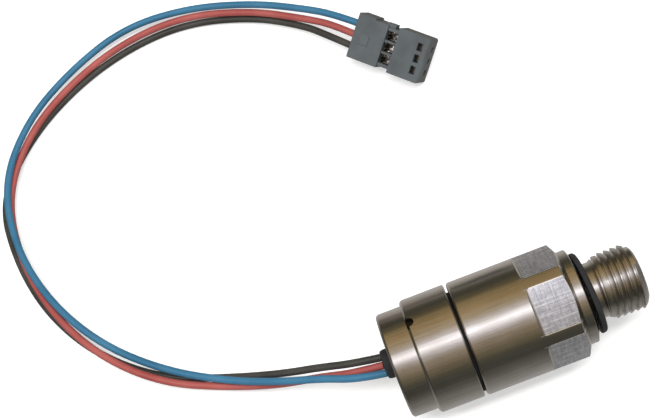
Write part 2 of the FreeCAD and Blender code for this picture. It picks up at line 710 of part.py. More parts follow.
def connector_housing():
    """Front block, open section and lead tray of the connector, moulded in one piece."""
    half = "plug_width / 2"
    window_half = "plug_window_width / 2"
    solids = plug_tail("tray", "0", PLUG_AXIS)
    solids.append(box(
        "front_block",
        (WINDOW_FRONT, f"0 - {half}", "0"),
        ("plug_front_length", "plug_width", "plug_height"),
    ))
    solids.append(box(
        "window_block",
        ("plug_tail_length", f"0 - {window_half}", "0"),
        ("plug_window_length", "plug_window_width", "plug_height - plug_window_drop"),
    ))
    cuts = lead_grooves("tray")
    for number in range(3):
        across = way_across(number)
        low_side = f"{across} - plug_cavity / 2"
        cuts.append(box(
            f"cavity_{number + 1}",
            ("plug_tail_length", low_side, f"{PLUG_AXIS} - plug_cavity / 2"),
            (f"{PLUG_FRONT} - plug_tail_length - plug_front_wall", "plug_cavity", "plug_cavity"),
        ))
        cuts.append(box(
            f"window_{number + 1}",
            ("plug_tail_length", low_side, PLUG_AXIS),
            ("plug_window_length", "plug_cavity", "plug_height"),
        ))
        cuts.append(box(
            f"latch_window_{number + 1}",
            (
                f"{PLUG_FRONT} - plug_port_from_front - plug_port_length",
                f"{across} - plug_port_width / 2",
                PLUG_AXIS,
            ),
            ("plug_port_length", "plug_port_width", "plug_height"),
        ))
        cuts.append(rod(
            f"pin_entry_{number + 1}",
            (f"{PLUG_FRONT} - plug_front_wall * 2", across, PLUG_AXIS),
            "plug_entry_dia",
            "plug_front_wall * 3",
        ))
    housing = without("connector_housing", joined("connector_mould", solids), cuts)
    housing.Placement = plug_frame()
    return housing


def connector_cover():
    """Lid that presses the leads into the tray, with a raised pad and a side latch."""
    half = "plug_tail_width / 2"
    height = f"plug_height - {PLUG_AXIS}"
    solids = plug_tail("cover", PLUG_AXIS, height)
    solids.append(box(
        "cover_latch",
        ("plug_tail_length - plug_latch_length / 3", f"{half} - plug_rib_rise", PLUG_AXIS),
        ("plug_latch_length", "plug_rib_rise * 2", f"{height} - plug_rib_rise"),
    ))
    solids.append(box(
        "cover_pad",
        ("plug_pad_from_rear", "0 - plug_pad_width / 2", "plug_height - plug_pad_rise"),
        ("plug_pad_length", "plug_pad_width", "plug_pad_rise * 2"),
    ))
    cover = without("connector_cover", joined("cover_mould", solids), lead_grooves("cover"))
    cover.Placement = plug_frame()
    return cover


def contact(number):
    """Bent strip: fork behind the lead, wings in the open section, box receptacle for the pin."""
    across = way_across(number)
    name = f"contact_{number + 1}"
    floor = f"{PLUG_AXIS} - plug_cavity / 2 + lead_gap"
    fork_rear = "plug_tail_length + lead_gap"
    box_rear = f"{PLUG_FRONT} - plug_front_wall - contact_box_length - lead_gap"
    half_box = "contact_box_width / 2"
    wing_height = "( contact_thickness + contact_wing_height )"
    solids = [
        box(
            name + "_strip",
            (fork_rear, f"{across} - contact_width / 2", floor),
            (f"{box_rear} - ( {fork_rear} ) + contact_thickness", "contact_width", "contact_thickness"),
        ),
        box(
            name + "_fork",
            (fork_rear, f"{across} - {half_box}", floor),
            ("contact_thickness", "contact_box_width", f"{wing_height} + contact_wing_height / 2"),
        ),
        box(
            name + "_wings",
            (f"{fork_rear} + contact_thickness * 2", f"{across} - {half_box}", floor),
            ("contact_wing_length", "contact_box_width", wing_height),
        ),
        box(name + "_box", (box_rear, f"{across} - {half_box}", floor), (
            "contact_box_length", "contact_box_width", "contact_box_width")),
    ]
    inside = "contact_box_width - contact_thickness * 2"
    side = f"{across} - ( {inside} ) / 2"
    cuts = [
        box(
            name + "_slot",
            (
                f"{fork_rear} - contact_thickness",
                f"{across} - contact_fork_slot / 2",
                f"{floor} + contact_width / 2",
            ),
            ("contact_thickness * 3", "contact_fork_slot", "plug_height"),
        ),
        box(
            name + "_trough",
            (f"{fork_rear} + contact_thickness", side, f"{floor} + contact_thickness"),
            ("contact_wing_length + contact_thickness * 2", inside, "plug_height"),
        ),
        box(
            name + "_socket",
            (f"{box_rear} - contact_thickness", side, f"{floor} + contact_thickness"),
            ("contact_box_length + contact_thickness * 2", inside, inside),
        ),
    ]
    strip = without(name, joined(name + "_blank", solids), cuts)
    strip.Placement = plug_frame()
    return strip


def plug_leads():
    """Ends of the three leads inside the connector, up to the forks."""
    ends = []
    for number in range(3):
        start = ("0", way_across(number), PLUG_AXIS)
        ends.append(rod(f"plug_lead_{number + 1}", start, "lead_dia", "plug_tail_length"))
    leads = group("plug_leads", ends)
    leads.Placement = plug_frame()
    return leads


# The three leads' routes between the bush and the connector, from the one to the other.
ROUTES = {
    "wire_blue": [
        (-58.3, -0.1, -0.1),
        (-64.5, 3.0, -1.9),
        (-73.1, 6.8, -5.5),
        (-83.3, 11.7, -8.9),
        (-95.6, 18.9, -9.2),
        (-106.8, 29.2, -9.1),
        (-114.6, 42.0, -8.2),
        (-118.4, 56.6, -7.9),
        (-117.1, 71.8, -7.9),
        (-108.2, 84.1, -8.1),
        (-95.7, 92.5, -9.0),
        (-81.6, 97.6, -9.1),
        (-66.5, 96.1, -8.6),
        (-52.2, 90.4, -7.5),
        (-41.9, 83.7, -6.3),
        (-36.5, 79.5, -5.7),
    ],
    "wire_red": [
        (-58.6, 1.6, -1.5),
        (-64.7, 3.9, -3.7),
        (-73.6, 6.8, -7.4),
        (-84.0, 11.0, -10.4),
        (-96.9, 16.6, -9.2),
        (-107.8, 26.9, -8.9),
        (-115.1, 39.9, -9.3),
        (-118.6, 54.4, -9.6),
        (-117.5, 69.5, -9.6),
        (-108.7, 81.5, -8.9),
        (-96.3, 89.7, -9.3),
        (-82.2, 94.6, -9.5),
        (-67.3, 94.8, -9.3),
        (-53.0, 89.3, -8.6),
        (-43.0, 82.3, -7.6),
        (-37.7, 78.1, -6.9),
    ],
    "wire_black": [
        (-57.9, 3.7, -0.4),
        (-64.3, 5.8, -2.5),
        (-72.6, 8.7, -6.9),
        (-82.9, 12.8, -10.7),
        (-96.2, 17.6, -10.7),
        (-107.8, 27.1, -10.7),
        (-115.9, 39.6, -10.7),
        (-119.7, 54.0, -10.7),
        (-119.5, 69.2, -10.7),
        (-109.7, 80.6, -10.7),
        (-97.1, 88.5, -10.7),
        (-82.9, 93.1, -10.7),
        (-68.1, 93.8, -10.7),
        (-53.6, 88.7, -10.1),
        (-43.7, 81.6, -9.1),
        (-39.3, 76.5, -8.2),
    ],
}


def faced(tube, end, inward):
    """The tube cut flush with the face that it meets, whose inside lies that way."""
    reach = size("lead_dia") * 2
    return tube.cut(Part.makeCylinder(reach, reach, end, inward))


def lead(label, place, route):
    """One lead: straight runs joined by arcs as large as the runs allow, then a sweep of its section."""
    bush = Vector(-depth_of_outlet(), size("lead_spacing") * place + size("outlet_offset"), 0)
    plug = plug_frame().multVec(Vector(0, -size("plug_pitch") * place, size("plug_height") / 2))
    radius = size("lead_dia") / 2
    points = [bush] + [Vector(*point) for point in route] + [plug]
    for end, neighbour in ((0, 1), (-1, -2)):
        outward = points[neighbour] - points[end]
        outward.normalize()
        points[end] = points[end] - outward * radius
    edges = []
    radii = []
    run_start = points[0]
    for before, corner, after in zip(points, points[1:], points[2:]):
        back = before - corner
        ahead = after - corner
        reach = ARC_SHARE * min(back.Length, ahead.Length)
        back.normalize()
        ahead.normalize()
        half_turn = (math.pi - back.getAngle(ahead)) / 2
        bend = reach / math.tan(half_turn)
        inward = back + ahead
        inward.normalize()
        middle = corner + inward * (math.hypot(reach, bend) - bend)
        edges.append(Part.LineSegment(run_start, corner + back * reach).toShape())
        edges.append(Part.Arc(corner + back * reach, middle, corner + ahead * reach).toShape())
        run_start = corner + ahead * reach
        radii.append(round(bend, 1))
    edges.append(Part.LineSegment(run_start, points[-1]).toShape())
    path = Part.Wire(edges)
    section = Part.Wire([Part.Circle(points[0], points[1] - points[0], radius).toShape()])
    tube = path.makePipeShell([section], True, True)
    ideal = math.pi * radius ** 2 * path.Length
    print(f"{label}: length {path.Length:.1f} mm, radii {radii}, volume ratio {tube.Volume / ideal:.4f}")
    tube = faced(tube, bush, Vector(1, 0, 0))
    tube = faced(tube, plug, plug_frame().Rotation.multVec(Vector(1, 0, 0)))
    wire = doc.addObject("Part::Feature", label)
    wire.Shape = tube
    return wire


def depth_of_outlet():
    stations = (
        "stud_length", "collar_length", "body_length", "groove_width",
        "clamp_ring_length", "cap_tail_length", "outlet_length",
    )
    return sum(size(alias) for alias in stations)


def build():
    groove_ring = o_ring(
        "groove_ring",
        BODY_REAR + " + groove_width / 2",
        "groove_ring_dia",
        "groove_ring_wire",
        "0 - groove_ring_slack",
    )
    pieces = [main_housing(), port_seal_ring(), groove_ring, clamp_ring(), rear_cap()]
    pieces += [cable_grommet(), potting_disc()]
    pieces += pressure_cell()
    pieces += electronics()
    pieces += [connector_housing(), connector_cover(), plug_leads()]
    pieces += [contact(number) for number in range(3)]
    for place, (label, route) in zip((-1, 0, 1), ROUTES.items()):
        pieces.append(lead(label, place, route))
    return pieces


def check(pieces):
    """Stop if anything in the document failed or a piece has no sound shape."""
    for thing in doc.Objects:
        if "Invalid" in thing.State or "Error" in thing.State:
            raise RuntimeError(f"{thing.Label} failed: {thing.State}")
    for piece in pieces:
        if piece.Shape.isNull() or not piece.Shape.isValid() or not piece.Shape.Solids:
            raise RuntimeError(f"{piece.Label} has no sound shape")


nodes = build()
doc.recompute()
check(nodes)
os.makedirs("parts", exist_ok=True)
for node in nodes:
    node.Shape.exportStep(f"parts/{node.Label}.step")
print(len(nodes), "pieces")
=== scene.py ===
"""Looks of a small stainless pressure transmitter that lies on a white table.

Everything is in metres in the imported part's frame: +X out of the pressure port, +Z up.
A station is a depth behind the stud's tip, and a bearing is an angle from upright towards +Y.
"""

import json
import math

import bmesh
import bpy
from mathutils import Matrix, Vector


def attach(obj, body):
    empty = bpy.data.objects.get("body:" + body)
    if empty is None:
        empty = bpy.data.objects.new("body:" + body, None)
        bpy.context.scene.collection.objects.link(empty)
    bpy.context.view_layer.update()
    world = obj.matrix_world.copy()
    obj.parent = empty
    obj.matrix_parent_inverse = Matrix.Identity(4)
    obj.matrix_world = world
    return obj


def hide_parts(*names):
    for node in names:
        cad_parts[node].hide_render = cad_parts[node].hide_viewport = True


MM = 0.001

# Points nearer than a weld distance, in millimetres, become one, and edges sharper than an angle
# stay crisp.
WELD = 0.0005
NODE_WELD = 0.002
SHARP_ANGLE = 35
RIDGE_SHARP_ANGLE = 40

# Stations of the turned steel, in millimetres behind the stud's tip.
TIP_CONE_REAR = 0.52
THREAD_CHAMFER = 1.05
THREAD_RUNOUT = (8.7, 7.1)
ROOT_REAR = 8.25
NECK_FRONT = 8.45
SHOULDER = 11.5
BODY_FRONT = 13.6
PORT_REAR = 16.75
FLAT_MIDDLE = 19.0
BODY_REAR = 35.6
RING_FRONT = 36.05
RING_REAR = 45.3
CAP_REAR = 50.5
BUSH_REAR = 52.3

# Radii and steps in millimetres.
PORT_RADIUS = 2.5
TIP_RADIUS = 4.9
THREAD_RADIUS = 6.5785
THREAD_ROOT = 5.72
THREAD_PITCH = 1.337
NECK_RADIUS = 5.6
COLLAR_RADIUS = 9.45
BODY_RADIUS = 11.5
CAP_RADIUS = 10.5
BODY_BEVEL = (1.1, 2.0)
BEVEL_START = (0.08, 0.14)
COLLAR_CHAMFER = (0.5, 1.25)
STEEL_ROUND = 0.08
BODY_REAR_ROUND = 0.6
PORT_MOUTH = 0.3

# The body's bores from its rear forwards: where each ends, and its radius.
BORES = ((25.05, 9.6), (22.15, 8.5), (17.35, 7.6), (PORT_REAR, 6.6))

# The six flats: millimetres from the axis or of height, stations, and degrees.
FLAT_DISTANCE = 10.5
FLAT_SHOULDER = 22.25
FLAT_RUNOUT = 0.7
FLAT_BEARING = -15.0
FLAT_COUNT = 6
FLAT_CROWN = 0.13
FLAT_EDGE = math.degrees(math.acos(FLAT_DISTANCE / BODY_RADIUS))
EDGE_SOFTNESS = 0.09
BARREL_MARGIN = 0.4

# Rows of the mesh: millimetres behind the bevel's edge, and shares of the flats' run-out.
EDGE_ROWS = (-0.05, -0.02, 0.0, 0.02, 0.05, 0.3)
RUNOUT_ROWS = (0.0, 0.12, 0.3, 0.5, 0.7, 0.9, 1.0)

# The thread's swept ridge, in millimetres and degrees; its base is a share of the pitch.
THREAD_TURNS = 7.51
THREAD_START = -10.727
CREST_WIDTH = 0.2
RIDGE_BASE = 0.93
RIDGE_SUNK = 0.06
RIDGE_ROUND = 0.07
RIDGE_TURN = 180.0
RUNOUT_SUNK = 0.1

# Black seal ring on the shoulder, a few degrees askew. Its lip gives a depth and a front radius.
SEAL_BORE = 5.8
SEAL_RADIUS = 8.25
SEAL_THICKNESS = 1.15
SEAL_LIP = (0.8, 7.9)
SEAL_ROUND = 0.12
SEAL_SKEW = 2.5

# Loose black ring in the gap behind the barrel.
GAP_RING_WIRE = 0.21
GAP_RING_MEAN = 9.95
GAP_MIDDLE = 0.225
GAP_RING_HANG = -0.44

# Clamping ring and its staked notch.
RING_CLEARANCE = 0.03
RING_FRONT_EDGE = 0.25
RING_REAR_EDGE = 0.5
RING_ROUND = 0.2
NOTCH_BEARING = 21.0
NOTCH_INSET = 0.65
NOTCH_RISE = 0.8
NOTCH_RADIUS = 0.95
NOTCH_LENGTH = 3.0
NOTCH_REACH = 1.9
NOTCH_SKIN = 0.06

# Cap, with the tongue that reaches into the body, and the bush in its wall. The flange gives a
# thickness and an overhang, and the tip gives steps before the bush's end and in from its radius.
LATHE_CENTRE = 0.02
CAP_BORE = 8.6
CAP_WALL = 1.3
CAP_CHAMFER = 0.45
CAP_ROUND = 0.15
CAP_NECK = 9.3
TONGUE_RADIUS = 9.56
TONGUE_LENGTH = 5.5
BUSH_OFFSET = 0.95
BUSH_RADIUS = 2.95
BUSH_CLEARANCE = 0.025
BUSH_FLANGE = (0.9, 1.25)
BUSH_TIP = ((0.7, 0.0), (0.1, 0.2), (0.0, 0.55))

# Connector, which lies turned and rolled on its lower long edge.
PLUG_PITCH = 2.54
PLUG_HEIGHT = 5.5
PLUG_WIDTH = 9.96
PLUG_LENGTH = 17.0
PLUG_PLACE = (-32.7, 74.3)
PLUG_TURN = -45.0
PLUG_ROLL = 28.0
PLUG_ROUND = 0.55
PLUG_EDGE = 0.08
CONTACT_EDGE = 0.04
# Painted shade: past this station the contacts are dark throughout, fading in over the next length in
# millimetres.
CONTACT_SHADE_PAST = 9.6
CONTACT_SHADE_FADE = 1.5

# Leads, in millimetres.
LEAD_DIAMETER = 1.55
LEAD_SPACING = 1.65

# Camera, in millimetres and degrees.
CAMERA_PLACE = (-38.7, -75.73, 282.64)
CAMERA_TARGET = (-53.2, 40.35, -11.5)
CAMERA_ROLL = -27.72
CAMERA_LENS = 83.08
CAMERA_SENSOR = 36.0

# Fitted control points of the leads between the bush and the connector, in millimetres. They repeat
# the part's source, apart from five points just behind the bush that are moved by up to 0.4 mm.
ROUTES = {
    "wire_blue": [
        (-58.3, 0.3, -0.1),
        (-64.5, 3.3, -1.9),
        (-73.1, 6.8, -5.5),
        (-83.3, 11.7, -8.9),
        (-95.6, 18.9, -9.2),
        (-106.8, 29.2, -9.1),
        (-114.6, 42.0, -8.2),
        (-118.4, 56.6, -7.9),
        (-117.1, 71.8, -7.9),
        (-108.2, 84.1, -8.1),
        (-95.7, 92.5, -9.0),
        (-81.6, 97.6, -9.1),
        (-66.5, 96.1, -8.6),
        (-52.2, 90.4, -7.5),
        (-41.9, 83.7, -6.3),
        (-36.5, 79.5, -5.7),
    ],
    "wire_red": [
        (-58.6, 2.0, -1.5),
        (-64.7, 4.2, -3.7),
        (-73.6, 6.8, -7.4),
        (-84.0, 11.0, -10.4),
        (-96.9, 16.6, -9.2),
        (-107.8, 26.9, -8.9),
        (-115.1, 39.9, -9.3),
        (-118.6, 54.4, -9.6),
        (-117.5, 69.5, -9.6),
        (-108.7, 81.5, -8.9),
        (-96.3, 89.7, -9.3),
        (-82.2, 94.6, -9.5),
        (-67.3, 94.8, -9.3),
        (-53.0, 89.3, -8.6),
        (-43.0, 82.3, -7.6),
        (-37.7, 78.1, -6.9),
    ],
    "wire_black": [
        (-57.9, 3.55, -0.4),
        (-64.3, 5.8, -2.5),
        (-72.6, 8.7, -6.9),
        (-82.9, 12.8, -10.7),
        (-96.2, 17.6, -10.7),
        (-107.8, 27.1, -10.7),
        (-115.9, 39.6, -10.7),
        (-119.7, 54.0, -10.7),
        (-119.5, 69.2, -10.7),
        (-109.7, 80.6, -10.7),
        (-97.1, 88.5, -10.7),
        (-82.9, 93.1, -10.7),
        (-68.1, 93.8, -10.7),
        (-53.6, 88.7, -10.1),
        (-43.7, 81.6, -9.1),
        (-39.3, 76.5, -8.2),
    ],
}

# Linear colours of the steel: streaked barrel, scuffed flats, scratches, worn edges, and the painted
# shade in the clamp ring's notch.
BARREL_STEEL = ((0.507, 0.485, 0.448, 1), (0.588, 0.573, 0.551, 1))
MILLED_STEEL = ((0.309, 0.312, 0.329, 1), (0.485, 0.488, 0.51, 1))
SCRATCHED_STEEL = (0.676, 0.684, 0.706, 1)
WORN_STEEL = (0.92, 0.91, 0.89, 1)
PAINTED_NOTCH_SHADE = (0.06, 0.055, 0.05, 1)
MILLED_METALLIC = 0.81

# Table and the painted reflection room: sizes in metres, apart from the table's gap in millimetres,
# and strengths of light.
# A fade gives the strengths at two places, and then the two places.
TABLE_SIZE = 4.0
TABLE_GAP = 0.02
TABLE_REACH = 0.1
TABLE_GLOW = 0.36
TABLE_FADE_AHEAD = (0.68, 0.306, 0.0, 0.03)
TABLE_FADE_BEHIND = (0.45, 1.0, -0.085, -0.05)
WALL_RADIUS = 1.5
WALL_RIM = -0.1
WALL_FADE = (0.68, 0.306, 0.45, 1.35)
AMBIENT = 0.72

# Painted reflection: tones that the metal sees in place of the white table, from -100 to 100 mm
# beside the axis.
PAINTED_TABLE_REFLECTION = [
    (0.0, (0.19, 0.185, 0.165)),
    (0.2, (0.27, 0.255, 0.23)),
    (0.35, (0.4, 0.38, 0.35)),
    (0.42, (0.62, 0.6, 0.58)),
    (0.6, (0.8, 0.77, 0.75)),
    (0.66, (0.8, 0.75, 0.71)),
    (0.8, (0.5, 0.45, 0.38)),
    (1.0, (0.34, 0.31, 0.26)),
]

# Painted reflection: tones that the metal sees in place of the white surroundings, overhead from
# level with the table on the -Y side to level on the +Y side; the bright strip is a painted
# highlight.
PAINTED_ROOM_REFLECTION = [
    (0.0, (0.11, 0.11, 0.09)),
    (0.12, (0.13, 0.125, 0.1)),
    (0.2, (0.28, 0.23, 0.14)),
    (0.33, (0.6, 0.47, 0.33)),
    (0.41, (1.1, 1.02, 1.0)),
    (0.478, (3.5, 3.4, 3.6)),
    (0.545, (1.1, 1.0, 0.95)),
    (0.61, (0.85, 0.68, 0.45)),
    (0.7, (0.69, 0.48, 0.24)),
    (0.81, (0.48, 0.35, 0.17)),
    (0.85, (0.2, 0.17, 0.1)),
    (0.94, (0.1, 0.095, 0.07)),
    (1.0, (0.15, 0.14, 0.11)),
]


# ---------------------------------------------------------------- shapes


def on_bearing(depth, radius, bearing):
    """Point in metres at a station, a radius and a bearing."""
    angle = math.radians(bearing)
    return Vector((-depth, radius * math.sin(angle), radius * math.cos(angle))) * MM


def rounded(corners, radius, steps=3):
    """Outline whose inner corners are arcs; its two ends stay as they are."""
    points = [Vector(corners[0])]
    for before, corner, after in zip(corners, corners[1:], corners[2:]):
        corner = Vector(corner)
        back = Vector(before) - corner
        ahead = Vector(after) - corner
        reach = min(radius, back.length * 0.4, ahead.length * 0.4)
        start = corner + back.normalized() * reach
        end = corner + ahead.normalized() * reach
        for step in range(steps + 1):
            share = step / steps
            points.append(start.lerp(corner, share).lerp(corner.lerp(end, share), share))
    points.append(Vector(corners[-1]))
    return [tuple(point) for point in points]


def quarter_round(depth, radius, size):
    """Outline points of a rounded outer edge that ends at this depth."""
    turns = [math.radians(22.5 * step) for step in range(5)]
    return [
        (depth - size * (1 - math.sin(turn)), radius - size * (1 - math.cos(turn)))
        for turn in turns
    ]


def mesh_piece(name, shape):
    """Object at the origin from a bmesh, smooth except at its sharp edges."""
    mesh = bpy.data.meshes.new(name)
    bmesh.ops.recalc_face_normals(shape, faces=shape.faces)
    shape.to_mesh(mesh)
    shape.free()
    mesh.shade_smooth()
    mesh.set_sharp_from_angle(angle=math.radians(SHARP_ANGLE))
    piece = bpy.data.objects.new(name, mesh)
    bpy.context.scene.collection.objects.link(piece)
    return piece


def wrapped(name, rows, bearings):
    """Closed ring of rows round the axis; a row gives (depth, radius) at a bearing."""
    shape = bmesh.new()
    rings = []
    for row in rows:
        rings.append([shape.verts.new(on_bearing(*row(bearing), bearing)) for bearing in bearings])
    count = len(bearings)
    for ring, following in zip(rings, rings[1:] + rings[:1]):
        for index in range(count):
            ahead = (index + 1) % count
            shape.faces.new((ring[index], ring[ahead], following[ahead], following[index]))
    bmesh.ops.remove_doubles(shape, verts=shape.verts, dist=WELD * MM)
    return mesh_piece(name, shape)


def fixed_rows(outline):
    """Rows that are the same all the way round."""
    return [lambda bearing, point=point: point for point in outline]


def even_bearings(count):
    """Bearings evenly spaced round the axis."""
    return [360 * index / count for index in range(count)]


def turned(name, outline, count=192):
    """Lathe piece from the closed outline of its half section."""
    return wrapped(name, fixed_rows(outline), even_bearings(count))


def cut_away(piece, depth, across, up, radius, length, turn):
    """Take a rod's shape out of a piece; the rod's middle is at the given place in millimetres."""
    bpy.ops.mesh.primitive_cylinder_add(vertices=64, radius=radius * MM, depth=length * MM)
    rod = bpy.context.object
    rod.data.transform(Matrix.Translation(Vector((-depth, across, up)) * MM) @ turn)
    cut = piece.modifiers.new("cut", "BOOLEAN")
    cut.operation = "DIFFERENCE"
    cut.solver = "EXACT"
    cut.object = rod
    bpy.context.view_layer.update()
    graph = bpy.context.evaluated_depsgraph_get()
    mesh = bpy.data.meshes.new_from_object(piece.evaluated_get(graph))
    piece.modifiers.remove(cut)
    piece.data = mesh
    bpy.data.objects.remove(rod)
    mesh.shade_smooth()
    mesh.set_sharp_from_angle(angle=math.radians(SHARP_ANGLE))


def weigh_normals(piece):
    """Flat faces stay flat in the light, and only the rounded edges turn it."""
    modifier = piece.modifiers.new("even light", "WEIGHTED_NORMAL")
    modifier.keep_sharp = True
    modifier.weight = 100


# ---------------------------------------------------------------- finishes


def add(tree, kind, inputs=None, **settings):
    """Node with its settings, and each input as a value or a socket to link."""
    node = tree.nodes.new(kind)
    for name, value in settings.items():
        setattr(node, name, value)
    for socket, value in (inputs or {}).items():
        if isinstance(value, bpy.types.NodeSocket):
            tree.links.new(value, node.inputs[socket])
        else:
            node.inputs[socket].default_value = value
    return node


def linear(*screen):
    """Screen colour from 0 to 255 as the shader's linear colour."""
    parts = [value / 255 for value in screen]
    return tuple(((v + 0.055) / 1.055) ** 2.4 if v > 0.04045 else v / 12.92 for v in parts) + (1.0,)


def new_finish(name, **fixed):
    """Material with one shader, its fixed sockets, and the piece's Object coordinates."""
    material = bpy.data.materials.new(name)
    material.use_nodes = True
    tree = material.node_tree
    shader = tree.nodes["Principled BSDF"]
    for socket, value in fixed.items():
        shader.inputs[socket.replace("_", " ")].default_value = value
    place = add(tree, "ShaderNodeTexCoord").outputs["Object"]
    return material, tree, shader, place


def grain(tree, place, stretch, detail=2.0, rough=0.5):
    """Noise from 0 to 1 with so many cells a metre along each axis."""
    scaled = add(tree, "ShaderNodeMapping", {"Vector": place, "Scale": stretch})
    texture = add(tree, "ShaderNodeTexNoise", {
        "Vector": scaled.outputs["Vector"],
        "Scale": 1.0,
        "Detail": detail,
        "Roughness": rough,
    })
    return texture.outputs["Fac"]


def spread(tree, value, low, high, start=0.3, end=0.7):
    """The value's range start to end, laid over low to high."""
    return add(tree, "ShaderNodeMapRange", {
        "Value": value,
        "From Min": start,
        "From Max": end,
        "To Min": low,
        "To Max": high,
    }).outputs["Result"]


def calculate(tree, operation, first, second):
    """Sum, product or the like of two values or sockets."""
    return add(tree, "ShaderNodeMath", {0: first, 1: second}, operation=operation).outputs[0]


def blend_colour(tree, share, low, high):
    """Colour between two others; a Mix node's colours are its sockets 6 and 7, and 2 comes out."""
    return add(tree, "ShaderNodeMix", {"Factor": share, 6: low, 7: high}, data_type="RGBA").outputs[2]


def blend_value(tree, share, low, high):
    """Value between two others."""
    inputs = {"Factor": share, "A": low, "B": high}
    return add(tree, "ShaderNodeMix", inputs, data_type="FLOAT").outputs["Result"]


def raise_bump(tree, height, distance, strength, normal=None):
    """Normal bent by a height, on top of an earlier bump if one is given."""
    inputs = {"Height": height, "Distance": distance, "Strength": strength}
    if normal is not None:
        inputs["Normal"] = normal
    return add(tree, "ShaderNodeBump", inputs).outputs["Normal"]


def turned_steel(name="turned_steel", roughness=(0.17, 0.23)):
    """Stainless steel off the lathe: fine rings round the axis, faint stains, milled flats, and
    painted shade in the notch.
    """
    material, tree, shader, place = new_finish(name, Metallic=1.0)
    rings = grain(tree, place, (5200, 45, 45), detail=3.0, rough=0.6)
    stains = grain(tree, place, (160, 160, 160), detail=4.0)
    scuffs = grain(tree, place, (1500, 1500, 1500), detail=5.0, rough=0.65)
    across = grain(tree, place, (2600, 260, 260), detail=2.0)
    along = grain(tree, place, (110, 3000, 3000), detail=3.0)
    milled = add(tree, "ShaderNodeAttribute", attribute_name="milled").outputs["Fac"]
    worn = add(tree, "ShaderNodeAttribute", attribute_name="worn").outputs["Fac"]
    notch_shade_mask = add(tree, "ShaderNodeAttribute", attribute_name="notch_shade_mask").outputs["Fac"]
    half_along = calculate(tree, "MULTIPLY", along, 0.5)
    half_stains = calculate(tree, "MULTIPLY", stains, 0.5)
    streaks = calculate(tree, "ADD", half_along, half_stains)
    colour = blend_colour(tree, spread(tree, streaks, 0.0, 1.0, 0.4, 0.6), *BARREL_STEEL)
    crossed = calculate(tree, "ADD", calculate(tree, "ADD", scuffs, across), along)
    weave = calculate(tree, "MULTIPLY", crossed, 0.333)
    scuffed = blend_colour(tree, spread(tree, weave, 0.0, 1.0, 0.42, 0.58), *MILLED_STEEL)
    scratched = spread(tree, along, 0.0, 0.7, 0.62, 0.72)
    scuffed = blend_colour(tree, scratched, scuffed, SCRATCHED_STEEL)
    colour = blend_colour(tree, milled, colour, scuffed)
    colour = blend_colour(tree, worn, colour, WORN_STEEL)
    # Painted shade: the faces inside the clamp ring's notch turn almost black.
    colour = blend_colour(tree, notch_shade_mask, colour, PAINTED_NOTCH_SHADE)
    tree.links.new(colour, shader.inputs["Base Color"])
    tree.links.new(blend_value(tree, milled, 1.0, MILLED_METALLIC), shader.inputs["Metallic"])
    turned_rough = spread(tree, rings, *roughness)
    milled_rough = spread(tree, scuffs, 0.19, 0.29)
    tree.links.new(blend_value(tree, milled, turned_rough, milled_rough), shader.inputs["Roughness"])
    normal = raise_bump(tree, rings, 0.002 * MM, 0.2)
    normal = raise_bump(tree, scuffs, 0.004 * MM, 0.3, normal)
    tree.links.new(normal, shader.inputs["Normal"])
    return material


def moulded(name, colour, lighter, roughness=(0.4, 0.55), cells=700, depth=0.01, gloss=0.5):
    """Plastic or rubber with a slight unevenness of colour, gloss and surface."""
    material, tree, shader, place = new_finish(name, Specular_IOR_Level=gloss)
    blotches = grain(tree, place, (cells / 4,) * 3, detail=3.0)
    pits = grain(tree, place, (cells * 3,) * 3, detail=2.0)
    blotched = blend_colour(tree, spread(tree, blotches, 0.0, 1.0), colour, lighter)
    tree.links.new(blotched, shader.inputs["Base Color"])
    tree.links.new(spread(tree, blotches, *roughness), shader.inputs["Roughness"])
    tree.links.new(raise_bump(tree, pits, depth * MM, 0.6), shader.inputs["Normal"])
    return material


def insulation(name, colour, lighter):
    """Soft, slightly glossy plastic of a lead."""
    return moulded(name, linear(*colour), linear(*lighter), (0.3, 0.42), cells=500, depth=0.006)


def plated(name, colour, lighter, roughness=(0.2, 0.35), start=0.3, end=0.7, shade_past=None):
    """Plated strip or pin metal; past a station of the connector it is painted dark all over, as
    painted shade inside the housing.
    """
    material, tree, shader, place = new_finish(name, Metallic=1.0)
    streaks = grain(tree, place, (1500, 1500, 1500), detail=3.0)
    share = spread(tree, streaks, 0.0, 1.0, start, end)
    if shade_past is not None:
        forward = plug_frame().to_3x3() @ Vector((1, 0, 0))
        product = add(tree, "ShaderNodeVectorMath", {0: place, 1: forward}, operation="DOT_PRODUCT")
        shade_start = forward.dot(plug_frame() @ Vector((shade_past * MM, 0, 0)))
        shade_end = shade_start + CONTACT_SHADE_FADE * MM
        bright = spread(tree, product.outputs["Value"], 1.0, 0.0, shade_start, shade_end)
        share = calculate(tree, "MULTIPLY", share, bright)
    tree.links.new(blend_colour(tree, share, colour, lighter), shader.inputs["Base Color"])
    tree.links.new(spread(tree, streaks, *roughness), shader.inputs["Roughness"])
    tree.links.new(raise_bump(tree, streaks, 0.005 * MM, 0.5), shader.inputs["Normal"])
    return material


def give(piece, material):
    """Make this the piece's one material."""
    piece.data.materials.clear()
    piece.data.materials.append(material)


# ---------------------------------------------------------------- housing


def across_flat(bearing):
    """Degrees from the nearest flat's middle."""
    pitch = 360 / FLAT_COUNT
    return (bearing - FLAT_BEARING + pitch / 2) % pitch - pitch / 2


def crown_at(bearing):
    """Height of the nearest flat's slight crown at a bearing."""
    return FLAT_CROWN * max(1 - (across_flat(bearing) / FLAT_EDGE) ** 2, 0)


def softer_minimum(first, second, width):
    """Lesser of two values, with the corner where they cross rounded over a width."""
    overlap = max(width - abs(first - second), 0) / width
    return min(first, second) - overlap * overlap * width / 4


def plan_radius(bearing):
    """Radius of the barrel with its slightly crowned flats, at a bearing."""
    flat = (FLAT_DISTANCE + crown_at(bearing)) / math.cos(math.radians(across_flat(bearing)))
    return softer_minimum(flat, BODY_RADIUS, EDGE_SOFTNESS)


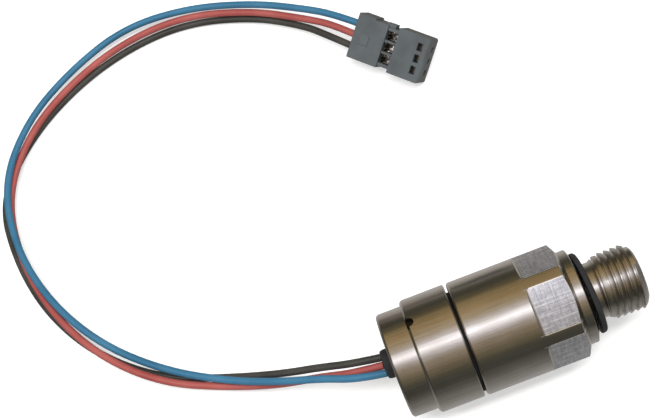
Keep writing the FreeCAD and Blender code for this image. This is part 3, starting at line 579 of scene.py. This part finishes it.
def bevel_row(offset):
    """Row along the edge between the front bevel and the flats, moved back by the offset."""
    length, rise = BODY_BEVEL

    def row(bearing):
        radius = plan_radius(bearing)
        foot = BODY_RADIUS - rise
        depth = BODY_FRONT + length * (radius - foot) / rise + offset
        cone = foot + rise * (depth - BODY_FRONT) / length
        return depth, softer_minimum(cone, radius, EDGE_SOFTNESS)

    return row


def runout_row(share):
    """Row on the cutter's radius, from the flat (0) to the barrel (1)."""
    start = FLAT_SHOULDER - FLAT_RUNOUT

    def row(bearing):
        tilt = math.cos(math.radians(across_flat(bearing)))
        crown = crown_at(bearing)
        rise = max(BODY_RADIUS * tilt - FLAT_DISTANCE - crown, 0)
        if rise < FLAT_RUNOUT:
            swing = math.acos(1 - rise / FLAT_RUNOUT) * share
            climbed = FLAT_RUNOUT * (1 - math.cos(swing))
        else:
            swing = math.pi / 2 * min(share / 0.9, 1)
            climbed = FLAT_RUNOUT * (1 - math.cos(swing)) if share < 1 else rise
        radius = min((FLAT_DISTANCE + crown + climbed) / tilt, BODY_RADIUS)
        return start + FLAT_RUNOUT * math.sin(swing), radius if share > 0 else plan_radius(bearing)

    return row


def flat_bearings():
    """Bearings crowded at the flats' edges."""
    pitch = 360 / FLAT_COUNT
    steps = [FLAT_EDGE * index / 14 for index in range(14)]
    steps += [FLAT_EDGE + offset for offset in (-1.0, -0.5, 0.0, 0.5, 1.0)]
    land = pitch / 2 - FLAT_EDGE - 1.0
    steps += [FLAT_EDGE + 1.0 + land * share for share in (0.3, 0.65)]
    half = sorted(steps)
    offsets = [-step for step in reversed(half[1:])] + half + [pitch / 2]
    return [
        FLAT_BEARING + pitch * number + offset
        for number in range(FLAT_COUNT)
        for offset in offsets
    ]


def housing(finish):
    """Stud, collar and barrel in one piece, bored from both ends."""
    foot = BODY_RADIUS - BODY_BEVEL[1]
    collar_length, collar_rise = COLLAR_CHAMFER
    front = rounded([
        (PORT_REAR, PORT_RADIUS),
        (0.0, PORT_RADIUS),
        (0.0, TIP_RADIUS),
        (TIP_CONE_REAR, THREAD_ROOT),
        (ROOT_REAR, THREAD_ROOT),
        (NECK_FRONT, NECK_RADIUS),
        (SHOULDER, NECK_RADIUS),
        (SHOULDER, COLLAR_RADIUS - collar_rise),
        (SHOULDER + collar_length, COLLAR_RADIUS),
        (BODY_FRONT, COLLAR_RADIUS),
    ], STEEL_ROUND)
    bores = []
    station = BODY_REAR
    for end, radius in BORES:
        bores += [(station, radius), (end, radius)]
        station = end
    rear = rounded([
        (FLAT_SHOULDER + BARREL_MARGIN, BODY_RADIUS),
        *quarter_round(BODY_REAR, BODY_RADIUS, BODY_REAR_ROUND),
        *bores,
        (PORT_REAR, PORT_RADIUS + PORT_MOUTH),
    ], STEEL_ROUND)
    rows = fixed_rows(front)
    rows += fixed_rows([(BODY_FRONT, foot), (BODY_FRONT + BEVEL_START[0], foot + BEVEL_START[1])])
    rows += [bevel_row(offset) for offset in EDGE_ROWS]
    rows += [lambda bearing: (FLAT_MIDDLE, plan_radius(bearing))]
    rows += [runout_row(share) for share in RUNOUT_ROWS]
    rows += fixed_rows(rear)
    piece = wrapped("housing", rows, flat_bearings())
    mark_surfaces(piece)
    weigh_normals(piece)
    give(piece, finish)
    return piece


def mark_surfaces(piece):
    """Tell the finish which faces are milled flats and which are their worn edges."""
    milled = piece.data.attributes.new("milled", "FLOAT", "FACE")
    worn = piece.data.attributes.new("worn", "FLOAT", "FACE")
    for face in piece.data.polygons:
        depth = -face.center.x / MM
        radius = math.hypot(face.center.y, face.center.z) / MM
        turn = abs(across_flat(math.degrees(math.atan2(face.center.y, face.center.z))))
        if radius > FLAT_DISTANCE - 0.1 and BODY_FRONT < depth < FLAT_SHOULDER:
            level = radius * math.cos(math.radians(turn)) - FLAT_DISTANCE
            lies_flat = abs(level) < 0.2 and abs(face.normal.x) < 0.1
            on_edge = abs(turn - FLAT_EDGE) < 0.55
            milled.data[face.index].value = float(turn < FLAT_EDGE and lies_flat)
            worn.data[face.index].value = float(on_edge and depth < FLAT_SHOULDER - 1.1)


# ---------------------------------------------------------------- thread


def group_input(tree, name, kind, value=None):
    """Named input of a node tree, with its value at first."""
    socket = tree.interface.new_socket(name=name, in_out="INPUT", socket_type=kind)
    if value is not None:
        socket.default_value = value


def thread_tree():
    """Geometry nodes: a ridge swept along a helix, then cut down by the stud's two chamfers."""
    tree = bpy.data.node_groups.new("stud thread", "GeometryNodeTree")
    group_input(tree, "Geometry", "NodeSocketGeometry")
    for name, value in (
        ("Pitch", THREAD_PITCH * MM),
        ("Turns", THREAD_TURNS),
        ("Root Radius", THREAD_ROOT * MM),
        ("Crest Radius", THREAD_RADIUS * MM),
        ("Crest Width", CREST_WIDTH * MM),
        ("Start", THREAD_START * MM),
    ):
        group_input(tree, name, "NodeSocketFloat", value)
    group_input(tree, "Finish", "NodeSocketMaterial")
    tree.interface.new_socket(name="Geometry", in_out="OUTPUT", socket_type="NodeSocketGeometry")
    given = add(tree, "NodeGroupInput").outputs
    depth = calculate(tree, "SUBTRACT", given["Crest Radius"], given["Root Radius"])
    height = calculate(tree, "ADD", depth, RIDGE_SUNK * MM)
    half_height = calculate(tree, "MULTIPLY", height, 0.5)
    middle = calculate(tree, "SUBTRACT", given["Crest Radius"], half_height)
    helix = add(tree, "GeometryNodeCurveSpiral", {
        "Resolution": 96,
        "Rotations": given["Turns"],
        "Start Radius": middle,
        "End Radius": middle,
        "Height": calculate(tree, "MULTIPLY", given["Turns"], given["Pitch"]),
    })
    upright = add(tree, "GeometryNodeSetCurveNormal", {"Curve": helix.outputs["Curve"]}, mode="Z_UP")
    ridge = add(tree, "GeometryNodeCurvePrimitiveQuadrilateral", {
        "Bottom Width": calculate(tree, "MULTIPLY", given["Pitch"], RIDGE_BASE),
        "Top Width": given["Crest Width"],
        "Height": height,
        "Offset": 0.0,
    }, mode="TRAPEZOID")
    softened = add(tree, "GeometryNodeFilletCurve", {
        "Curve": ridge.outputs["Curve"],
        "Radius": RIDGE_ROUND * MM,
        "Count": 2,
        "Limit Radius": True,
    }, mode="POLY")
    turned_profile = add(tree, "GeometryNodeTransform", {
        "Geometry": softened.outputs["Curve"],
        "Rotation": (0, 0, math.radians(RIDGE_TURN)),
    })
    swept = add(tree, "GeometryNodeCurveToMesh", {
        "Curve": upright.outputs["Curve"],
        "Profile Curve": turned_profile.outputs["Geometry"],
        "Fill Caps": True,
    })
    start = add(tree, "ShaderNodeCombineXYZ", {"X": given["Start"]})
    laid = add(tree, "GeometryNodeTransform", {
        "Geometry": swept.outputs["Mesh"],
        "Translation": start.outputs["Vector"],
        "Rotation": (0, math.radians(90), 0),
    })
    position = add(tree, "GeometryNodeInputPosition").outputs["Position"]
    place = add(tree, "ShaderNodeSeparateXYZ", {"Vector": position}).outputs
    square_y = calculate(tree, "MULTIPLY", place["Y"], place["Y"])
    square_z = calculate(tree, "MULTIPLY", place["Z"], place["Z"])
    radius = calculate(tree, "POWER", calculate(tree, "ADD", square_y, square_z), 0.5)
    lead_in = add(tree, "ShaderNodeMapRange", {
        "Value": place["X"],
        "From Min": -THREAD_CHAMFER * MM,
        "From Max": 0.0,
        "To Min": THREAD_RADIUS * MM,
        "To Max": TIP_RADIUS * MM,
    }).outputs["Result"]
    run_out = add(tree, "ShaderNodeMapRange", {
        "Value": place["X"],
        "From Min": -THREAD_RUNOUT[0] * MM,
        "From Max": -THREAD_RUNOUT[1] * MM,
        "To Min": (NECK_RADIUS - RUNOUT_SUNK) * MM,
        "To Max": THREAD_RADIUS * MM,
    }).outputs["Result"]
    limit = calculate(tree, "MINIMUM", lead_in, run_out)
    share = calculate(tree, "MINIMUM", calculate(tree, "DIVIDE", limit, radius), 1.0)
    trimmed = add(tree, "ShaderNodeCombineXYZ", {
        "X": place["X"],
        "Y": calculate(tree, "MULTIPLY", place["Y"], share),
        "Z": calculate(tree, "MULTIPLY", place["Z"], share),
    })
    cut = add(tree, "GeometryNodeSetPosition", {
        "Geometry": laid.outputs["Geometry"],
        "Position": trimmed.outputs["Vector"],
    })
    real = add(tree, "GeometryNodeRealizeInstances", {"Geometry": cut.outputs["Geometry"]})
    dressed = add(tree, "GeometryNodeSetMaterial", {
        "Geometry": real.outputs["Geometry"],
        "Material": given["Finish"],
    })
    add(tree, "NodeGroupOutput", {"Geometry": dressed.outputs["Geometry"]})
    return tree


def from_nodes(name, tree, finish):
    """Plain mesh piece made by a geometry node tree."""
    carrier = bpy.data.objects.new(name + "_carrier", bpy.data.meshes.new(name + "_carrier"))
    bpy.context.scene.collection.objects.link(carrier)
    modifier = carrier.modifiers.new("made", "NODES")
    modifier.node_group = tree
    for socket in tree.interface.items_tree:
        if socket.in_out == "INPUT" and socket.name == "Finish":
            modifier[socket.identifier] = finish
    bpy.context.view_layer.update()
    graph = bpy.context.evaluated_depsgraph_get()
    mesh = bpy.data.meshes.new_from_object(carrier.evaluated_get(graph))
    bpy.data.objects.remove(carrier)
    piece = bpy.data.objects.new(name, mesh)
    bpy.context.scene.collection.objects.link(piece)
    mesh.name = name
    shape = bmesh.new()
    shape.from_mesh(mesh)
    bmesh.ops.remove_doubles(shape, verts=shape.verts, dist=WELD * MM)
    bmesh.ops.recalc_face_normals(shape, faces=shape.faces)
    shape.to_mesh(mesh)
    shape.free()
    mesh.shade_smooth()
    mesh.set_sharp_from_angle(angle=math.radians(RIDGE_SHARP_ANGLE))
    return piece


# ---------------------------------------------------------------- rings, cap and bush


def seal_ring(finish):
    """Black ring with a bevelled front edge, which stands a little askew on the shoulder."""
    seam = (0.6, SEAL_BORE)
    outline = rounded([
        seam,
        (0.0, SEAL_BORE),
        (0.0, SEAL_RADIUS),
        (SEAL_LIP[0], SEAL_RADIUS),
        (SEAL_THICKNESS, SEAL_LIP[1]),
        (SEAL_THICKNESS, SEAL_BORE),
        seam,
    ], SEAL_ROUND)[:-1]
    outline = [(-depth, radius) for depth, radius in outline]
    piece = turned("seal_ring", outline, count=128)
    skew = math.radians(SEAL_SKEW)
    lift = SEAL_RADIUS * math.sin(skew)
    place = Matrix.Translation(Vector((lift - SHOULDER, 0, 0)) * MM) @ Matrix.Rotation(skew, 4, "Z")
    piece.data.transform(place)
    weigh_normals(piece)
    give(piece, finish)
    return piece


def groove_ring(finish):
    """Loose black ring that hangs to one side in the gap."""
    steps = 16
    outline = []
    for step in range(steps):
        angle = 2 * math.pi * step / steps
        depth = BODY_REAR + GAP_MIDDLE + GAP_RING_WIRE * math.cos(angle)
        outline.append((depth, GAP_RING_MEAN + GAP_RING_WIRE * math.sin(angle)))
    piece = turned("gap_ring", outline, count=160)
    piece.data.transform(Matrix.Translation(Vector((0, GAP_RING_HANG, 0)) * MM))
    give(piece, finish)
    return piece


def clamp_ring(finish):
    """Steel ring over the cap, with a staked notch on its rear edge that is painted almost black
    inside as painted shade.
    """
    bore = CAP_RADIUS + RING_CLEARANCE
    seam = (RING_FRONT + 4, bore)
    outline = rounded([
        seam,
        (RING_FRONT, bore),
        (RING_FRONT, BODY_RADIUS - RING_FRONT_EDGE),
        (RING_FRONT + RING_FRONT_EDGE, BODY_RADIUS),
        (RING_REAR - RING_REAR_EDGE, BODY_RADIUS),
        (RING_REAR, BODY_RADIUS - RING_REAR_EDGE),
        (RING_REAR, bore),
        seam,
    ], RING_ROUND)[:-1]
    piece = turned("clamping_ring", outline, count=240)
    notch = on_bearing(RING_REAR - NOTCH_INSET, BODY_RADIUS + NOTCH_RISE, NOTCH_BEARING) / MM
    turn = Matrix.Rotation(math.radians(-NOTCH_BEARING), 4, "X")
    cut_away(piece, -notch.x, notch.y, notch.z, NOTCH_RADIUS, NOTCH_LENGTH, turn)
    # Painted shade: faces inside the notch are marked to be painted almost black.
    notch_shade_mask = piece.data.attributes.new("notch_shade_mask", "FLOAT", "FACE")
    for face in piece.data.polygons:
        offset = face.center - notch * MM
        inside = math.hypot(face.center.y, face.center.z) < (BODY_RADIUS - NOTCH_SKIN) * MM
        notch_shade_mask.data[face.index].value = float(inside and offset.length < NOTCH_REACH * MM)
    weigh_normals(piece)
    give(piece, finish)
    return piece


def rear_cap(finish):
    """Steel cap whose tongue reaches into the body, with a hole beside its middle for the bush."""
    seam = (40.0, CAP_BORE)
    outline = rounded([
        seam,
        (BODY_REAR - TONGUE_LENGTH, CAP_BORE),
        (BODY_REAR - TONGUE_LENGTH, TONGUE_RADIUS),
        (BODY_REAR, TONGUE_RADIUS),
        (BODY_REAR, CAP_NECK),
        (RING_FRONT, CAP_NECK),
        (RING_FRONT, CAP_RADIUS),
        (CAP_REAR - CAP_CHAMFER, CAP_RADIUS),
        (CAP_REAR, CAP_RADIUS - CAP_CHAMFER),
        (CAP_REAR, LATHE_CENTRE),
        (CAP_REAR - CAP_WALL, LATHE_CENTRE),
        (CAP_REAR - CAP_WALL, CAP_BORE),
        seam,
    ], CAP_ROUND)[:-1]
    piece = turned("cap", outline, count=240)
    along = Matrix.Rotation(math.pi / 2, 4, "Y")
    cut_away(piece, CAP_REAR, BUSH_OFFSET, 0, BUSH_RADIUS + BUSH_CLEARANCE, length=4.0, turn=along)
    weigh_normals(piece)
    give(piece, finish)
    return piece


def bush(finish):
    """Rubber bush beside the cap's middle, with a flange behind the cap's wall."""
    inside = CAP_REAR - CAP_WALL
    thickness, overhang = BUSH_FLANGE
    outline = rounded([
        (inside, LATHE_CENTRE),
        (inside - thickness, LATHE_CENTRE),
        (inside - thickness, BUSH_RADIUS + overhang),
        (inside, BUSH_RADIUS + overhang),
        (inside, BUSH_RADIUS),
        *[(BUSH_REAR - back, BUSH_RADIUS - inset) for back, inset in BUSH_TIP],
        (BUSH_REAR, LATHE_CENTRE),
        (inside, LATHE_CENTRE),
    ], CAP_ROUND)[:-1]
    piece = turned("outlet_bush", outline, count=96)
    piece.data.transform(Matrix.Translation(Vector((0, BUSH_OFFSET, 0)) * MM))
    weigh_normals(piece)
    give(piece, finish)
    return piece


# ---------------------------------------------------------------- connector


def plug_frame():
    """Connector's own frame: +X out of its pin end, +Z out of its top."""
    drop = PLUG_WIDTH / 2 * math.sin(math.radians(PLUG_ROLL))
    base = Vector((*PLUG_PLACE, drop - BODY_RADIUS)) * MM
    turn = Matrix.Rotation(math.radians(PLUG_TURN), 4, "Z")
    return Matrix.Translation(base) @ turn @ Matrix.Rotation(math.radians(PLUG_ROLL), 4, "X")


def round_front(shape):
    """Wider radius on the two upright front corners of the connector."""
    inward = plug_frame().inverted()
    near = 0.05
    corners = []
    for edge in shape.edges:
        ends = [inward @ vertex.co / MM for vertex in edge.verts]
        forward = all(abs(end.x - PLUG_LENGTH) < near for end in ends)
        outer = all(abs(abs(end.y) - PLUG_WIDTH / 2) < near for end in ends)
        if forward and outer:
            corners.append(edge)
    bmesh.ops.bevel(
        shape, geom=corners, offset=PLUG_ROUND * MM, segments=4, affect="EDGES", profile=0.5,
    )


def softened_copy(node, name, bevel, finish):
    """The CAD node's shape as one closed mesh with small rounded edges."""
    shape = bmesh.new()
    shape.from_mesh(frame["nodes"][node].data)
    bmesh.ops.remove_doubles(shape, verts=shape.verts, dist=NODE_WELD * MM)
    bmesh.ops.dissolve_limit(
        shape, angle_limit=math.radians(1), verts=shape.verts, edges=shape.edges, delimit=set(),
    )
    if node == "connector_housing":
        round_front(shape)
    piece = mesh_piece(name, shape)
    edge = piece.modifiers.new("edges", "BEVEL")
    edge.width = bevel * MM
    edge.segments = 2
    edge.limit_method = "ANGLE"
    edge.angle_limit = math.radians(SHARP_ANGLE)
    edge.harden_normals = False
    weigh_normals(piece)
    give(piece, finish)
    return piece


# ---------------------------------------------------------------- leads


def lead(label, place, finish):
    """One free lead along its route, as a smooth curve."""
    start = Vector((-BUSH_REAR, LEAD_SPACING * place + BUSH_OFFSET, 0)) * MM
    end = plug_frame() @ (Vector((0, -PLUG_PITCH * place, PLUG_HEIGHT / 2)) * MM)
    points = [start] + [Vector(point) * MM for point in ROUTES[label]] + [end]
    curve = bpy.data.curves.new(label + "_route", "CURVE")
    curve.dimensions = "3D"
    spline = curve.splines.new("NURBS")
    spline.points.add(len(points) - 1)
    for control, point in zip(spline.points, points):
        control.co = (*point, 1.0)
    spline.order_u = 3
    spline.use_endpoint_u = True
    spline.resolution_u = 12
    curve.bevel_depth = LEAD_DIAMETER / 2 * MM
    curve.bevel_resolution = 6
    curve.use_fill_caps = True
    piece = bpy.data.objects.new(label + "_lead", curve)
    bpy.context.scene.collection.objects.link(piece)
    give(piece, finish)
    return piece, start


# ---------------------------------------------------------------- table, light and camera


def table_top():
    """White table with a faint shadow.

    The camera sees it white. The metal doesn't: it sees a painted reflection in its place, tones that
    are dimmer and fade away from the body.
    """
    level = (-BODY_RADIUS - TABLE_GAP) * MM
    bpy.ops.mesh.primitive_plane_add(size=TABLE_SIZE, location=(0, 0, level))
    floor = bpy.context.object
    floor.name = "table_top"
    material = bpy.data.materials.new("white_table")
    material.use_nodes = True
    tree = material.node_tree
    tree.nodes.clear()
    rays = add(tree, "ShaderNodeLightPath").outputs
    seen = calculate(tree, "MAXIMUM", rays["Is Camera Ray"], rays["Is Transmission Ray"])
    paper = add(tree, "ShaderNodeBsdfDiffuse", {"Color": (0.72, 0.72, 0.715, 1)})
    glow = add(tree, "ShaderNodeEmission", {
        "Color": (1, 1, 0.995, 1),
        "Strength": calculate(tree, "MULTIPLY", seen, TABLE_GLOW),
    })
    both = add(tree, "ShaderNodeAddShader", {0: paper.outputs[0], 1: glow.outputs[0]})
    place = add(tree, "ShaderNodeSeparateXYZ", {
        "Vector": add(tree, "ShaderNodeTexCoord").outputs["Object"],
    }).outputs
    beside = spread(tree, place["Y"], 0.0, 1.0, -TABLE_REACH, TABLE_REACH)
    # Painted reflection: glossy rays see these glowing tones instead of the white table.
    painted_table_reflection = add(tree, "ShaderNodeEmission", {
        "Color": tone_ramp(tree, beside, PAINTED_TABLE_REFLECTION),
        "Strength": calculate(
            tree,
            "MULTIPLY",
            spread(tree, place["X"], *TABLE_FADE_AHEAD),
            spread(tree, place["X"], *TABLE_FADE_BEHIND),
        ),
    })
    choice = add(tree, "ShaderNodeMixShader", {
        0: rays["Is Glossy Ray"],
        1: both.outputs[0],
        2: painted_table_reflection.outputs[0],
    })
    add(tree, "ShaderNodeOutputMaterial", {"Surface": choice.outputs[0]})
    give(floor, material)


def tone_ramp(tree, share, tones):
    """Colours at places from 0 to 1, blended in between."""
    ramp = add(tree, "ShaderNodeValToRGB", {"Fac": share})
    stops = ramp.color_ramp.elements
    for where, colour in tones[1:-1]:
        stops.new(where).color = (*colour, 1)
    for stop, (where, colour) in ((stops[0], tones[0]), (stops[-1], tones[-1])):
        stop.position = where
        stop.color = (*colour, 1)
    return ramp.outputs["Color"]


def surround():
    """Painted reflection of a warm dim room, with one bright strip overhead as a painted highlight.

    Glossy rays alone see this glowing dome, and it hides the white world from them.
    """
    bpy.ops.mesh.primitive_uv_sphere_add(segments=64, ring_count=48, radius=WALL_RADIUS)
    walls = bpy.context.object
    walls.name = "painted_reflection_room"
    shape = bmesh.new()
    shape.from_mesh(walls.data)
    low = [vertex for vertex in shape.verts if vertex.co.z < WALL_RIM]
    bmesh.ops.delete(shape, geom=low, context="VERTS")
    shape.to_mesh(walls.data)
    shape.free()
    walls.data.shade_smooth()
    material = bpy.data.materials.new("painted_reflection_room")
    material.use_nodes = True
    tree = material.node_tree
    tree.nodes.clear()
    coordinates = add(tree, "ShaderNodeTexCoord").outputs["Object"]
    place = add(tree, "ShaderNodeSeparateXYZ", {"Vector": coordinates}).outputs
    lean = calculate(tree, "ARCTAN2", place["Y"], place["Z"])
    share = spread(tree, lean, 0.0, 1.0, -math.pi / 2, math.pi / 2)
    along = calculate(tree, "ABSOLUTE", place["X"], 0.0)
    # Painted reflection: the dome glows with the room's tones, and its bright strip paints the
    # steel's highlight.
    glow = add(tree, "ShaderNodeEmission", {
        "Color": tone_ramp(tree, share, PAINTED_ROOM_REFLECTION),
        "Strength": spread(tree, along, *WALL_FADE),
    })
    add(tree, "ShaderNodeOutputMaterial", {"Surface": glow.outputs[0]})
    give(walls, material)
    walls.visible_camera = False
    walls.visible_diffuse = False
    walls.visible_transmission = False
    walls.visible_shadow = False


def lamp(name, place, target, size, power):
    """Rectangular soft lamp that faces its target."""
    light = bpy.data.lights.new(name, "AREA")
    light.shape = "RECTANGLE"
    light.size, light.size_y = size
    light.energy = power
    holder = bpy.data.objects.new(name, light)
    holder.location = place
    holder.rotation_mode = "QUATERNION"
    holder.rotation_quaternion = (Vector(target) - Vector(place)).to_track_quat("-Z", "Y")
    holder.visible_glossy = False
    bpy.context.scene.collection.objects.link(holder)


def world_light():
    """Even light from all round, plain white where the camera, metal or glass sees it.

    The painted reflection room stands before it for the metal, so here that white reaches the camera
    and glass.
    """
    world = bpy.data.worlds.new("studio")
    bpy.context.scene.world = world
    world.use_nodes = True
    tree = world.node_tree
    tree.nodes.clear()
    rays = add(tree, "ShaderNodeLightPath").outputs
    seen = calculate(tree, "MAXIMUM", rays["Is Camera Ray"], rays["Is Glossy Ray"])
    seen = calculate(tree, "MAXIMUM", seen, rays["Is Transmission Ray"])
    strength = spread(tree, seen, AMBIENT, 1.0, 0.0, 1.0)
    sky = add(tree, "ShaderNodeBackground", {"Color": (1, 1, 1, 1), "Strength": strength})
    add(tree, "ShaderNodeOutputWorld", {"Surface": sky.outputs[0]})


def camera():
    """Camera that looks down on the lying part, rolled about its line of sight."""
    data = bpy.data.cameras.new("camera")
    data.lens = CAMERA_LENS
    data.sensor_width = CAMERA_SENSOR
    data.clip_start = 0.01
    data.clip_end = 20.0
    holder = bpy.data.objects.new("camera", data)
    place = Vector(CAMERA_PLACE) * MM
    aim = (Vector(CAMERA_TARGET) * MM - place).to_track_quat("-Z", "Y").to_matrix().to_4x4()
    roll = Matrix.Rotation(math.radians(CAMERA_ROLL), 4, "Z")
    holder.matrix_world = Matrix.Translation(place) @ aim @ roll
    bpy.context.scene.collection.objects.link(holder)
    bpy.context.scene.camera = holder


# ---------------------------------------------------------------- assembly


def put(piece, node):
    """The piece rides on the part and stands for its CAD node."""
    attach(piece, "root")
    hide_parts(node)
    return piece


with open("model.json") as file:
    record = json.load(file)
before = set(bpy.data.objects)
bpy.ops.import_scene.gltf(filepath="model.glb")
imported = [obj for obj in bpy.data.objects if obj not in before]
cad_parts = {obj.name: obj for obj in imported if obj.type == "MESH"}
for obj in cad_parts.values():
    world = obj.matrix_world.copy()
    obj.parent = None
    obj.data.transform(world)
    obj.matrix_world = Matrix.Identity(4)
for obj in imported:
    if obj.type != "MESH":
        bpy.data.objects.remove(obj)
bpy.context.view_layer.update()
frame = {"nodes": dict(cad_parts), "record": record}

steel = turned_steel()
black_rubber = moulded(
    "black_rubber", (0.012, 0.012, 0.013, 1), (0.026, 0.026, 0.028, 1), (0.5, 0.65), gloss=0.3,
)
plug_plastic = moulded(
    "plug_plastic", linear(65, 70, 72), linear(79, 85, 87), (0.38, 0.5), cells=900, depth=0.012,
)
# Painted shade: the contacts' plate is darkened, with a few bright patches, and past a station it is
# dark throughout.
contact_metal = plated(
    "contact_metal",
    (0.16, 0.153, 0.14, 1),
    (0.98, 0.96, 0.92, 1),
    (0.45, 0.2),
    start=0.55,
    end=0.64,
    shade_past=CONTACT_SHADE_PAST,
)
leads_finish = {
    "wire_blue": insulation("blue_insulation", (38, 92, 122), (53, 107, 136)),
    "wire_red": insulation("red_insulation", (141, 64, 60), (160, 82, 77)),
    "wire_black": insulation("black_insulation", (44, 44, 42), (63, 62, 58)),
}
inside_finishes = {
    "stainless_steel": steel,
    "black_rubber": black_rubber,
    "black_plastic": moulded("black_plastic", (0.02, 0.02, 0.022, 1), (0.04, 0.04, 0.042, 1)),
    "potting_resin": moulded(
        "potting_resin", (0.035, 0.035, 0.034, 1), (0.06, 0.06, 0.058, 1), (0.2, 0.4),
    ),
    "circuit_board": moulded(
        "solder_resist", (0.01, 0.12, 0.045, 1), (0.03, 0.2, 0.08, 1), (0.25, 0.4),
    ),
    "ceramic": moulded("fired_ceramic", (0.5, 0.44, 0.36, 1), (0.6, 0.55, 0.46, 1), (0.25, 0.4)),
    "gold_pin": plated("gold_plate", (0.75, 0.55, 0.22, 1), (0.9, 0.72, 0.38, 1)),
    "black_insulation": leads_finish["wire_black"],
}

put(housing(steel), "main_housing")
thread_steel = turned_steel("thread_steel", (0.25, 0.31))
put(from_nodes("stud_thread", thread_tree(), thread_steel), "main_housing")
put(seal_ring(black_rubber), "port_seal_ring")
put(groove_ring(black_rubber), "groove_ring")
put(clamp_ring(steel), "clamp_ring")
put(rear_cap(steel), "rear_cap")
put(bush(black_rubber), "cable_grommet")

for node, name in (("connector_housing", "plug_housing"), ("connector_cover", "plug_cover")):
    moulding = softened_copy(node, name, PLUG_EDGE, plug_plastic)
    put(moulding, node)
for number in (1, 2, 3):
    strip = softened_copy(f"contact_{number}", f"plug_contact_{number}", CONTACT_EDGE, contact_metal)
    put(strip, f"contact_{number}")

slots = {part["node"]: part["material_slot"] for part in frame["record"]["subparts"]}
for node, shown in frame["nodes"].items():
    if not shown.hide_render and slots[node] in inside_finishes:
        give(shown, inside_finishes[slots[node]])

for place, label in zip((-1, 0, 1), ROUTES):
    cord, start = lead(label, place, leads_finish[label])
    put(cord, label)

table_top()
surround()
world_light()
lamp("overhead_softbox", (-0.03, -0.02, 0.6), target=(-0.03, 0, 0), size=(0.75, 0.13), power=4.2)
camera()
bpy.context.scene.view_settings.view_transform = "Standard"

bpy.context.view_layer.update()
